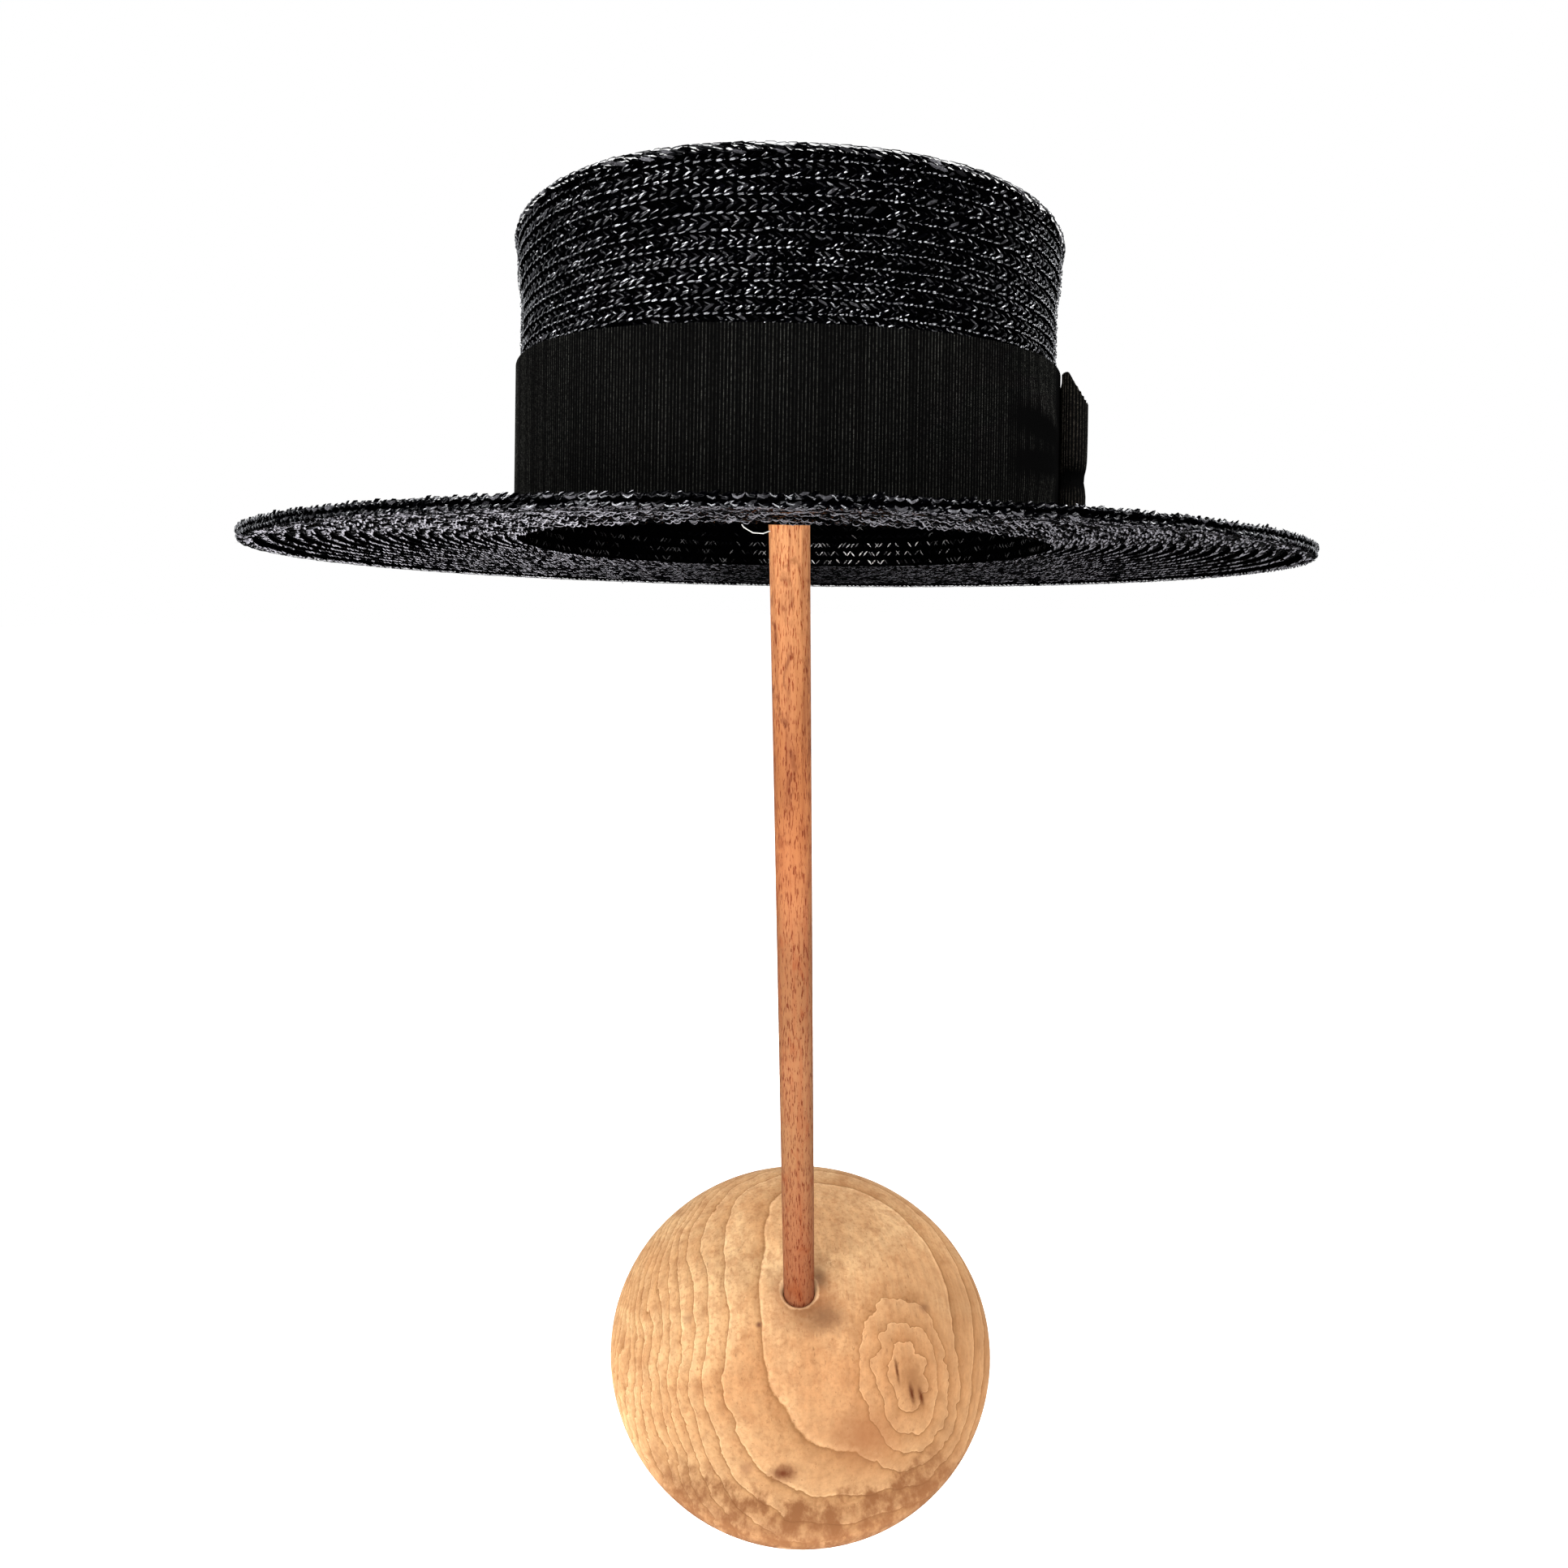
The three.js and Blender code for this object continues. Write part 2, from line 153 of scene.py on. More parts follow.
def make_world():
    """White to the eye. Gloss sees a white backdrop behind the hat and a dim room in front."""
    world = bpy.data.worlds.new("studio")
    world.use_nodes = True
    tree = world.node_tree
    tree.nodes.clear()
    towards = add_node(tree, "ShaderNodeTexCoord").outputs["Generated"]
    depth = add_node(tree, "ShaderNodeSeparateXYZ", {0: towards}).outputs[1]
    room = light_of(tree, (0.92, 0.96, 1.0, 1), ROOM_LIGHT)
    reflected = even_stretch(tree, depth, 0.0, 0.5, DIM_ROOM, BACKDROP)
    in_gloss = light_of(tree, (0.94, 0.96, 1.0, 1), reflected)
    white = light_of(tree, (1, 1, 1, 1), 1.0)
    path = add_node(tree, "ShaderNodeLightPath").outputs
    unseen = either_light(tree, path["Is Glossy Ray"], room, in_gloss)
    all_rays = either_light(tree, path["Is Camera Ray"], unseen, white)
    add_node(tree, "ShaderNodeOutputWorld", {"Surface": all_rays})
    bpy.context.scene.world = world


def floor_material():
    """Pale and matt to the eye, and nearly dark in gloss, so that lacquer over it stays black."""
    material, tree = blank_material("pale_floor")
    paint = principled(tree, {
        "Base Color": (FLOOR_GREY, FLOOR_GREY, FLOOR_GREY, 1), "Roughness": 0.9, "Specular IOR Level": 0.0,
        "Emission Color": (1, 1, 1, 1), "Emission Strength": FLOOR_GLOW,
    })
    _, axes = object_place(tree)
    strength = even_stretch(tree, axes[1], FLOOR_NEAR, FLOOR_FAR, FLOOR_NEAR_IN_GLOSS, FLOOR_FAR_IN_GLOSS)
    mirrored = add_node(tree, "ShaderNodeEmission", {"Color": (1, 1, 1, 1), "Strength": strength})
    in_gloss = add_node(tree, "ShaderNodeLightPath").outputs["Is Glossy Ray"]
    finish_material(tree, either_light(tree, in_gloss, paint, mirrored.outputs[0]))
    return material


def make_floor():
    half = FLOOR_SIZE / 2
    corners = [(-half, -half, 0), (half, -half, 0), (half, half, 0), (-half, half, 0)]
    mesh = bpy.data.meshes.new("floor")
    mesh.from_pydata(corners, [], [(0, 1, 2, 3)])
    mesh.materials.append(floor_material())
    floor = bpy.data.objects.new("floor", mesh)
    bpy.context.scene.collection.objects.link(floor)


aim_camera()
make_world()
make_floor()
soft_light("key_light", (-0.64, -1.17, 1.25), HAT_MIDDLE, (1.9, 0.19), 50)
soft_light("side_light", (1.20, -0.60, 0.95), HAT_MIDDLE, (0.9, 0.22), 14)
soft_light("low_light", (-0.55, -1.10, 0.10), (-0.03, 0, 0.40), (1.8, 0.15), 14)
soft_light("back_light", (0.2, 1.1, 1.2), HAT_MIDDLE, (1.2, 0.15), 10)
bpy.context.scene.view_settings.view_transform = "Standard"


# ---- Stand base -------------------------------------------------------------------------
# A low dome turned from one flat-sawn piece of pale wood. Its growth rings run round a knot at
# the front right, it is stained round the rod's hole, and weather has browned its front edge.

MM = 0.001
BASE_RADIUS, BASE_HEIGHT, BASE_WIDEST_AT, BASE_FOOT_RADIUS = 95.6, 24.0, 11.0, 84.0
BASE_DOME_POWER = 2.2
UNDERSIDE_RINGS = (30, 60, 78)
SOCKET_RADIUS, SOCKET_DEPTH, COUNTERSINK = 8.3, 17.0, 1.4
BASE_SEGMENTS = 168
OUT_OF_ROUND = 0.12
HOLE_CHIP_WIDE, HOLE_CHIP_HIGH = 0.5, 0.55    # how far the torn fibres round the hole go
KNOT = (49.0, -43.5)                          # its middle in plan
KNOT_DENT, KNOT_REACH = 0.5, 9

PALE_WOOD, TAN_WOOD = (0.73, 0.462, 0.233, 1), (0.62, 0.355, 0.166, 1)
MOTTLE, SPECKLE = (0.385, 0.171, 0.070, 1), (0.40, 0.185, 0.078, 1)
# The second colour on this line and the first on the next are painted shade, for the front edge and the
# right side.
WARM_FRONT, FRONT_SHADE_COLOUR = (0.55, 0.25, 0.104, 1), (0.38, 0.23, 0.112, 1)
RIGHT_SHADE_COLOUR, BASE_PORES = (0.35, 0.182, 0.081, 1), (0.21, 0.095, 0.040, 1)
WEATHERED, HOLE_STAIN = (0.190, 0.077, 0.029, 1), (0.235, 0.088, 0.032, 1)
FRESH_EDGE, KNOT_HEART = (0.68, 0.42, 0.22, 1), (0.25, 0.112, 0.044, 1)
RING_TONES = [                                # across one growth ring, from its line outwards
    (0.0, (0.52, 0.44, 0.36)), (0.05, (0.74, 0.67, 0.60)), (0.22, (0.85, 0.80, 0.75)),
    (0.60, (0.94, 0.92, 0.90)), (0.80, (0.98, 0.98, 0.98)), (0.92, (1.0, 1.0, 1.0)),
    (0.965, (1.16, 1.20, 1.26)), (0.985, (1.10, 1.12, 1.14)), (1.0, (0.60, 0.52, 0.44)),
]
RING_MIDDLE, RING_UNIT = (0.040, 0.010, 0.0), 0.081          # metres
ALL_RINGS, RIM_RINGS, KNOT_RINGS, FIRST_RING = 1.8, 2.6, 3.4, 8.57
# The slits in the knot and some old marks: middle and reach in metres, how much narrower each
# axis is, colour, and strength.
BASE_MARKS = [
    ((0.0485, -0.0490, 0.0205), 0.0050, (2.8, 0.80, 0.3), (0.085, 0.018, 0.004, 1), 1.0),
    ((0.0525, -0.0500, 0.0205), 0.0046, (2.8, 0.80, 0.3), (0.095, 0.022, 0.005, 1), 1.0),
    ((0.0435, -0.0400, 0.0215), 0.0046, (3.8, 0.55, 0.3), (0.110, 0.034, 0.011, 1), 1.0),
    ((-0.0106, -0.0765, 0.0193), 0.0060, (0.70, 1.3, 1), (0.120, 0.032, 0.011, 1), 1.0),
    ((-0.0260, -0.0740, 0.0200), 0.0040, (0.8, 1.3, 1), (0.24, 0.11, 0.055, 1), 0.6),
    ((-0.0206, -0.0170, 0.0236), 0.0024, (1, 1, 1), (0.15, 0.055, 0.028, 1), 1.0),
    ((0.0245, -0.0650, 0.0202), 0.0170, (0.7, 1.0, 1), (0.29, 0.115, 0.044, 1), 0.8),
    ((0.0120, -0.0150, 0.0236), 0.0130, (0.8, 1.1, 1), (0.20, 0.092, 0.040, 1), 0.9),
    ((0.0115, 0.0060, 0.0236), 0.0075, (1.3, 0.8, 1), (0.19, 0.088, 0.040, 1), 0.8),
    ((0.0620, -0.0620, 0.0195), 0.0060, (1, 1, 1), (0.22, 0.11, 0.05, 1), 0.7),
    ((0.0625, -0.0100, 0.0213), 0.0040, (1, 1, 1), (0.20, 0.09, 0.04, 1), 0.8),
    ((-0.0560, -0.0110, 0.0218), 0.0045, (1, 1, 1), (0.33, 0.17, 0.08, 1), 0.7),
]


def make_piece(name, points, polygons, material, replaced=(), values=None, sharp_over=None):
    """A mesh in metres from points in millimetres and arrays of triangles or quads."""
    mesh = bpy.data.meshes.new(name)
    mesh.vertices.add(len(points))
    mesh.vertices.foreach_set("co", (np.asarray(points) * MM).astype(np.float32).ravel())
    counts = np.concatenate([np.full(len(p), p.shape[1]) for p in polygons])
    corners = np.concatenate([p.ravel() for p in polygons])
    mesh.loops.add(len(corners))
    mesh.loops.foreach_set("vertex_index", corners.astype(np.int32))
    mesh.polygons.add(len(counts))
    starts = np.concatenate([[0], np.cumsum(counts)[:-1]])
    mesh.polygons.foreach_set("loop_start", starts.astype(np.int32))
    mesh.polygons.foreach_set("use_smooth", np.ones(len(counts), bool))
    mesh.update(calc_edges=True)
    mesh.validate()
    for key, numbers in (values or {}).items():
        layer = mesh.attributes.new(key, "FLOAT", "POINT")
        layer.data.foreach_set("value", np.asarray(numbers, np.float32).ravel())
    if sharp_over is not None:
        mesh.set_sharp_from_angle(angle=math.radians(sharp_over))
    mesh.materials.append(material)
    piece = bpy.data.objects.new(name, mesh)
    bpy.context.scene.collection.objects.link(piece)
    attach(piece, "root")
    if replaced:
        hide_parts(*replaced)
    return piece


def ring_quads(rings, columns, closed_rings=False):
    """Quads between neighbouring rings of points, each ring closed round its columns."""
    steps = rings if closed_rings else rings - 1
    row, column = np.meshgrid(np.arange(steps), np.arange(columns), indexing="ij")
    here, there = row * columns, (row + 1) % rings * columns
    beside = (column + 1) % columns
    return np.stack([here + column, here + beside, there + beside, there + column], -1).reshape(-1, 4)


def turned_faces(rings, columns):
    """The faces of a turned solid: its rings, and a fan at each end round a middle point. The two
    middle points come after the rings, the first end's before the last end's."""
    column = np.arange(columns)
    beside = (column + 1) % columns
    count = rings * columns
    last = count - columns
    first_end = np.stack([np.full(columns, count), beside, column], -1)
    last_end = np.stack([np.full(columns, count + 1), last + column, last + beside], -1)
    return [ring_quads(rings, columns), first_end, last_end]


def round_angles(segments):
    return np.arange(segments) / segments * 2 * math.pi


def smooth_noise(angle, seed, waves):
    """A closed wavy line, from -1 to 1, as a sum of a few waves round the circle."""
    rng = np.random.default_rng(seed)
    total = np.zeros_like(angle)
    for wave in waves:
        total += np.sin(angle * wave + rng.uniform(0, 2 * math.pi)) * rng.uniform(0.5, 1)
    return total / len(waves)


def base_profile():
    """Radius and height of each ring, from the middle of the underside up and into the socket."""
    profile = [(radius, 0.0) for radius in UNDERSIDE_RINGS]
    for degrees in np.linspace(0, 90, 12):
        a = math.radians(degrees)
        grown = BASE_FOOT_RADIUS + (BASE_RADIUS - BASE_FOOT_RADIUS) * math.sin(a)
        profile.append((grown, BASE_WIDEST_AT * (1 - math.cos(a))))
    power = 2 / BASE_DOME_POWER
    dome = np.concatenate([np.linspace(3, 60, 20), np.linspace(62, 83, 26)])
    for degrees in dome:
        a = math.radians(degrees)
        rise = (BASE_HEIGHT - BASE_WIDEST_AT) * math.sin(a) ** power
        profile.append((BASE_RADIUS * math.cos(a) ** power, BASE_WIDEST_AT + rise))
    mouth = SOCKET_RADIUS + COUNTERSINK
    for radius, depth in ((mouth + 0.5, 0), (mouth, 0.1), (SOCKET_RADIUS + 0.6, COUNTERSINK * 0.6),
                          (SOCKET_RADIUS, COUNTERSINK), (SOCKET_RADIUS, SOCKET_DEPTH), (3.0, SOCKET_DEPTH)):
        profile.append((radius, BASE_HEIGHT - depth))
    return profile


def make_base(material):
    """The turned disc, a little out of round, with torn fibres round its hole and a dented knot."""
    profile = base_profile()
    angle = round_angles(BASE_SEGMENTS)
    chips = smooth_noise(angle, 3, (3, 5, 8, 13, 21, 34))
    rings = []
    for radius, height in profile:
        near_hole = math.exp(-((radius - SOCKET_RADIUS - 1.2) / 1.6) ** 2) * (height > BASE_HEIGHT - 3)
        uneven = OUT_OF_ROUND * smooth_noise(angle, 5, (2, 3, 5)) * (radius > 20)
        out = radius + uneven + chips * near_hole * HOLE_CHIP_WIDE
        x, y = out * np.cos(angle), out * np.sin(angle)
        from_knot = np.hypot(x - KNOT[0], (y - KNOT[1]) * 0.8) / KNOT_REACH
        dent = KNOT_DENT * np.exp(-from_knot ** 2) * (height > BASE_WIDEST_AT)
        z = height - dent + np.minimum(chips, 0.2) * near_hole * HOLE_CHIP_HIGH
        rings.append(np.stack([x, y, z], -1))
    points = np.concatenate(rings + [[[0, 0, 0], [0, 0, profile[-1][1]]]])
    make_piece("stand_base_wood", points, turned_faces(len(profile), BASE_SEGMENTS), material,
               ("stand_base",), sharp_over=50)


def arithmetic(tree, operation, *values):
    return add_node(tree, "ShaderNodeMath", dict(enumerate(values)), operation=operation).outputs[0]


def times(tree, first, second):
    return arithmetic(tree, "MULTIPLY", first, second)


def raised(tree, base, exponent):
    return arithmetic(tree, "POWER", base, exponent)


def plus(tree, first, second):
    return arithmetic(tree, "ADD", first, second)


def minus(tree, first, second):
    return arithmetic(tree, "SUBTRACT", first, second)


def swing(tree, wave, width):
    """A noise of 0 to 1 made into a shift to either side, width across in all."""
    return times(tree, minus(tree, wave, 0.5), width)


def vector_math(tree, operation, *values, output=0):
    made = add_node(tree, "ShaderNodeVectorMath", dict(enumerate(values)), operation=operation)
    return made.outputs[output]


def scaled(tree, vector, factors):
    return vector_math(tree, "MULTIPLY", vector, factors)


def length_of(tree, vector):
    return vector_math(tree, "LENGTH", vector, output="Value")


def noise(tree, vector, scale, detail=3.0, roughness=0.5, distortion=0.0):
    return add_node(tree, "ShaderNodeTexNoise", {
        "Vector": vector, "Scale": scale, "Detail": detail, "Roughness": roughness,
        "Distortion": distortion,
    }).outputs[0]


def stretch(tree, value, low, high, to_low=0.0, to_high=1.0):
    """value taken smoothly from the range low..high to another, and held at its ends."""
    made = add_node(tree, "ShaderNodeMapRange", {
        "Value": value, "From Min": low, "From Max": high, "To Min": to_low, "To Max": to_high,
    }, interpolation_type="SMOOTHSTEP")
    return made.outputs[0]


def mixed(tree, share, first, second, blend="MIX"):
    made = add_node(tree, "ShaderNodeMix", data_type="RGBA", blend_type=blend)
    for place, value in ((0, share), (6, first), (7, second)):
        feed(tree, made.inputs[place], value)
    return made.outputs[2]


def stained(tree, colour, mask, strength, stain):
    """colour with a stain laid over it where the mask is, at its strength."""
    return mixed(tree, times(tree, mask, strength), colour, stain)


def ramp(tree, value, stops):
    made = add_node(tree, "ShaderNodeValToRGB", {0: value})
    band = made.color_ramp
    while len(band.elements) < len(stops):
        band.elements.new(0.5)
    for element, (place, colour) in zip(band.elements, stops):
        element.position = place
        element.color = (*colour, 1)
    return made.outputs[0]


def bumped(tree, height, strength, distance):
    bump = add_node(tree, "ShaderNodeBump", {"Height": height, "Strength": strength, "Distance": distance})
    return bump.outputs[0]


def new_group(name, inputs, outputs):
    """A shader node group with named sockets. Returns it with its input and output nodes."""
    group = bpy.data.node_groups.new(name, "ShaderNodeTree")
    for label, kind, default in inputs:
        socket = group.interface.new_socket(label, in_out="INPUT", socket_type=kind)
        if default is not None:
            socket.default_value = default
    for label, kind in outputs:
        group.interface.new_socket(label, in_out="OUTPUT", socket_type=kind)
    return group, group.nodes.new("NodeGroupInput"), group.nodes.new("NodeGroupOutput")


def make_fibre_group():
    """Short dark pores and long soft fibres that run along the given direction of the wood."""
    group, given, out = new_group("wood_fibres", [
        ("Vector", "NodeSocketVector", None),
        ("Stretch", "NodeSocketVector", (1.0, 1.0, 1.0)),
        ("Pore Scale", "NodeSocketFloat", 900.0),
        ("Pore Amount", "NodeSocketFloat", 0.4),
    ], [("Pores", "NodeSocketFloat"), ("Fibres", "NodeSocketFloat"), ("Height", "NodeSocketFloat")])
    along = scaled(group, given.outputs["Vector"], given.outputs["Stretch"])
    fine = noise(group, along, given.outputs["Pore Scale"], 2.0, 0.55)
    level = minus(group, 0.78, times(group, given.outputs["Pore Amount"], 0.3))
    pores = stretch(group, minus(group, fine, level), 0.0, 0.07)
    soft = noise(group, along, times(group, given.outputs["Pore Scale"], 0.34), 5.0, 0.65)
    height = minus(group, times(group, soft, 0.5), pores)
    group.links.new(pores, out.inputs["Pores"])
    group.links.new(soft, out.inputs["Fibres"])
    group.links.new(height, out.inputs["Height"])
    return group


def use_group(tree, group, inputs):
    made = tree.nodes.new("ShaderNodeGroup")
    made.node_tree = group
    for name, value in inputs.items():
        feed(tree, made.inputs[name], value)
    return made.outputs


def spot_mask(tree, place, middle, reach, squash, ragged, ragged_scale):
    """1 at its middle and 0 past its reach, both in metres, with a ragged edge."""
    distance = length_of(tree, scaled(tree, vector_math(tree, "SUBTRACT", place, middle), squash))
    distance = plus(tree, distance, swing(tree, noise(tree, place, ragged_scale), ragged))
    return stretch(tree, distance, reach, 0.0)


def base_growth_rings(tree, place, domed, broad):
    """0 to 1 across each growth ring. The rings are long ovals, far apart in the middle, that
    crowd together towards the rim and close up into small ovals round the knot."""
    flat = scaled(tree, place, (1, 1, 0))
    small = noise(tree, scaled(tree, domed, (1, 0.5, 1)), 75.0, 4.0, 0.6)
    ripple = swing(tree, small, 0.0075)
    away = scaled(tree, vector_math(tree, "SUBTRACT", flat, RING_MIDDLE), (1.0, 0.5, 0.0))
    away = plus(tree, length_of(tree, away), plus(tree, swing(tree, broad, 0.030), ripple))
    spread = raised(tree, arithmetic(tree, "DIVIDE", away, RING_UNIT), 4.0)
    edge = plus(tree, length_of(tree, flat), times(tree, ripple, 0.4))
    crowd = raised(tree, arithmetic(tree, "DIVIDE", edge, BASE_RADIUS * MM), 9.0)
    deep = plus(tree, times(tree, spread, ALL_RINGS), times(tree, crowd, RIM_RINGS))
    knot = spot_mask(tree, place, (KNOT[0] * MM, KNOT[1] * MM, 0.021), 0.036, (1, 0.60, 1), 0.012, 90.0)
    deep = minus(tree, deep, times(tree, raised(tree, knot, 1.4), KNOT_RINGS))
    return arithmetic(tree, "FRACT", plus(tree, deep, FIRST_RING))


def base_wood_colour(tree, place, axes, domed, mottle, rings, fibres):
    """Pale wood, warmer at the front, with its rings and pores, and painted shade that darkens its right
    side and its front edge.
    """
    x, y = axes[0], axes[1]
    blotch = noise(tree, place, 26.0, 5.0, 0.6, 0.4)
    colour = mixed(tree, stretch(tree, blotch, 0.38, 0.62), PALE_WOOD, TAN_WOOD)
    colour = mixed(tree, stretch(tree, mottle, 0.42, 0.70, 0.0, 0.5), colour, MOTTLE)
    warm = stretch(tree, y, 0.015, -0.045, 0.0, 0.5)
    warm = times(tree, warm, stretch(tree, x, -0.065, -0.015, 0.2, 1.0))
    colour = mixed(tree, warm, colour, WARM_FRONT)
    speckle = noise(tree, domed, 520.0, 3.0, 0.6)
    colour = mixed(tree, stretch(tree, speckle, 0.45, 0.75, 0.0, 0.6), colour, SPECKLE)
    # Painted shade: the right side is painted browner, less so towards the back.
    right = stretch(tree, x, 0.0, 0.085, 0.0, 0.70)
    right = times(tree, right, stretch(tree, y, 0.060, -0.010, 0.12, 1.0))
    colour = mixed(tree, right, colour, RIGHT_SHADE_COLOUR)
    # Painted shade: the front edge is painted duller and darker, patchily.
    front_shade = times(tree, stretch(tree, y, -0.035, -0.095), stretch(tree, blotch, 0.2, 0.5, 0.6, 1))
    colour = stained(tree, colour, front_shade, 0.60, FRONT_SHADE_COLOUR)
    colour = mixed(tree, 1.0, colour, ramp(tree, rings, RING_TONES), "MULTIPLY")
    colour = stained(tree, colour, fibres["Pores"], 0.45, BASE_PORES)
    return scaled(tree, colour, stretch(tree, fibres["Fibres"], 0.3, 0.7, 0.86, 1.08))


def weathered(tree, colour, axes, from_middle, broad, mottle):
    """colour with brown weather stains, faint at the back and patchy along the front edge."""
    back = stretch(tree, plus(tree, axes[1], times(tree, broad, 0.05)), 0.035, 0.10)
    wavy = plus(tree, from_middle, times(tree, mottle, 0.016))
    along_rim = times(tree, stretch(tree, wavy, 0.090, 0.097), stretch(tree, wavy, 0.109, 0.104))
    front = times(tree, along_rim, stretch(tree, axes[1], -0.058, -0.078))
    front = times(tree, front, stretch(tree, mottle, 0.30, 0.62, 0.35, 1.0))
    return mixed(tree, arithmetic(tree, "MAXIMUM", times(tree, back, 0.22), front), colour, WEATHERED)


def marked(tree, colour, place, from_middle, mottle):
    """colour with the stain and the pale cut edge of the hole, the knot's heart and the marks."""
    hole = spot_mask(tree, place, (0.003, -0.003, 0.024), 0.027, (1, 1, 1), 0.018, 160.0)
    colour = stained(tree, colour, hole, 0.9, HOLE_STAIN)
    cut_edge = plus(tree, from_middle, times(tree, mottle, 0.0035))
    colour = mixed(tree, stretch(tree, cut_edge, 0.0128, 0.0116, 0.0, 0.9), colour, FRESH_EDGE)
    heart = spot_mask(tree, place, (0.0505, -0.0450, 0.021), 0.0115, (1.45, 0.62, 1), 0.006, 500.0)
    colour = stained(tree, colour, heart, 0.85, KNOT_HEART)
    for middle, reach, squash, mark, strength in BASE_MARKS:
        mask = spot_mask(tree, place, middle, reach, squash, reach * 0.5, 600.0)
        colour = stained(tree, colour, mask, strength, mark)
    return colour


def base_wood_material():
    material, tree = blank_material("base_wood")
    place, axes = object_place(tree)
    from_middle = length_of(tree, scaled(tree, place, (1, 1, 0)))
    # The grain is taken over half a ball, so that it crowds towards the rim.
    ball_squared = (BASE_RADIUS * MM * 1.01) ** 2
    height_squared = minus(tree, ball_squared, times(tree, from_middle, from_middle))
    bulge = arithmetic(tree, "SQRT", arithmetic(tree, "MAXIMUM", height_squared, 0))
    domed = add_node(tree, "ShaderNodeCombineXYZ", {0: axes[0], 1: axes[1], 2: bulge}).outputs[0]
    broad = noise(tree, domed, 14.0, 2.0, 0.4)
    mottle = noise(tree, place, 150.0, 4.0, 0.65)
    fibres = use_group(tree, wood_fibres, {
        "Vector": domed, "Stretch": (1.0, 0.22, 1.0), "Pore Scale": 820.0, "Pore Amount": 0.42,
    })
    rings = base_growth_rings(tree, place, domed, broad)
    colour = base_wood_colour(tree, place, axes, domed, mottle, rings, fibres)
    colour = weathered(tree, colour, axes, from_middle, broad, mottle)
    colour = marked(tree, colour, place, from_middle, mottle)
    groove = stretch(tree, rings, 0.10, 0.0)
    height = minus(tree, times(tree, fibres["Height"], 0.25), groove)
    finish_material(tree, principled(tree, {
        "Base Color": colour, "Normal": bumped(tree, height, 0.35, 0.00025),
        "Roughness": stretch(tree, mottle, 0.3, 0.7, 0.50, 0.68),
        "Specular IOR Level": 0.07,
    }))
    return material


wood_fibres = make_fibre_group()
make_base(base_wood_material())


# ---- Stand rod --------------------------------------------------------------------------
# A round rod of reddish open-pored wood, pushed into the base's hole. It is oiled, darker and
# redder towards the foot, and its pores show as short dark dashes along its length.

DOWEL_RADIUS, DOWEL_BEVEL, DOWEL_FLATS = 8.0, 0.4, 0.05
DOWEL_SEGMENTS = 72
ROD_TONES = [                                 # up the rod, over its lowest half metre
    (0.0, (0.200, 0.064, 0.030)), (0.16, (0.220, 0.084, 0.037)), (0.28, (0.232, 0.107, 0.045)),
    (0.50, (0.192, 0.073, 0.027)), (0.68, (0.400, 0.139, 0.046)), (0.84, (0.660, 0.292, 0.120)),
    (1.0, (0.720, 0.336, 0.141)),
]
ROD_STREAK, ROD_PATCH = (0.185, 0.042, 0.013, 1), (0.434, 0.189, 0.084, 1)
ROD_REDDENED, ROD_PORES = (0.185, 0.046, 0.015, 1), (0.50, 0.24, 0.18, 1)


def make_dowel(material):
    low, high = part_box("stand_dowel")
    bottom, top = low[2] / MM, high[2] / MM
    angle = round_angles(DOWEL_SEGMENTS)
    flats = DOWEL_FLATS * smooth_noise(angle, 11, (3, 5, 7))
    heights = np.concatenate([[bottom, bottom], np.linspace(bottom + 0.4, top - 0.5, 60), [top, top]])
    radii = np.full(len(heights), DOWEL_RADIUS)
    radii[0] = radii[-1] = 3.0
    radii[1] = radii[-2] = DOWEL_RADIUS - DOWEL_BEVEL
    rings = []
    for height, radius in zip(heights, radii):
        out = (radius + flats * (radius > 5)) - DOWEL_FLATS
        rings.append(np.stack([out * np.cos(angle), out * np.sin(angle), np.full_like(angle, height)], -1))
    points = np.concatenate(rings + [[[0, 0, bottom], [0, 0, top]]])
    make_piece("stand_rod_wood", points, turned_faces(len(heights), DOWEL_SEGMENTS), material,
               ("stand_dowel",), sharp_over=50)


def dowel_wood_material():
    material, tree = blank_material("dowel_wood")
    place, axes = object_place(tree)
    fibres = use_group(tree, wood_fibres, {
        "Vector": place, "Stretch": (1.0, 1.0, 0.115), "Pore Scale": 2100.0, "Pore Amount": 0.74,
    })
    streak = noise(tree, scaled(tree, place, (1, 1, 0.05)), 420.0, 4.0, 0.6)
    patch = noise(tree, scaled(tree, place, (1, 1, 0.35)), 42.0, 3.0, 0.5)
    up_the_rod = times(tree, plus(tree, axes[2], times(tree, patch, 0.05)), 2.0)
    colour = ramp(tree, up_the_rod, ROD_TONES)
    colour = mixed(tree, stretch(tree, streak, 0.42, 0.72, 0.0, 0.55), colour, ROD_STREAK)
    colour = mixed(tree, stretch(tree, patch, 0.45, 0.75, 0.0, 0.25), colour, ROD_PATCH)
    stains = noise(tree, scaled(tree, place, (1, 1, 0.4)), 150.0, 4.0, 0.65, 0.6)
    colour = mixed(tree, stretch(tree, stains, 0.52, 0.68, 0.0, 0.7), colour, ROD_REDDENED)
    colour = mixed(tree, fibres["Pores"], colour, ROD_PORES, "MULTIPLY")
    finish_material(tree, principled(tree, {
        "Base Color": colour, "Normal": bumped(tree, fibres["Height"], 0.5, 0.0002),
        "Roughness": stretch(tree, streak, 0.3, 0.7, 0.42, 0.60),
        "Specular IOR Level": 0.1,
    }))
    return material


make_dowel(dowel_wood_material())


# ---- Crown ------------------------------------------------------------------------------
# One long plait of glossy black straw, sewn round and round from the middle of the tip outwards
# and down the side. Each turn lies over the next one out, so its outer edge stands free.

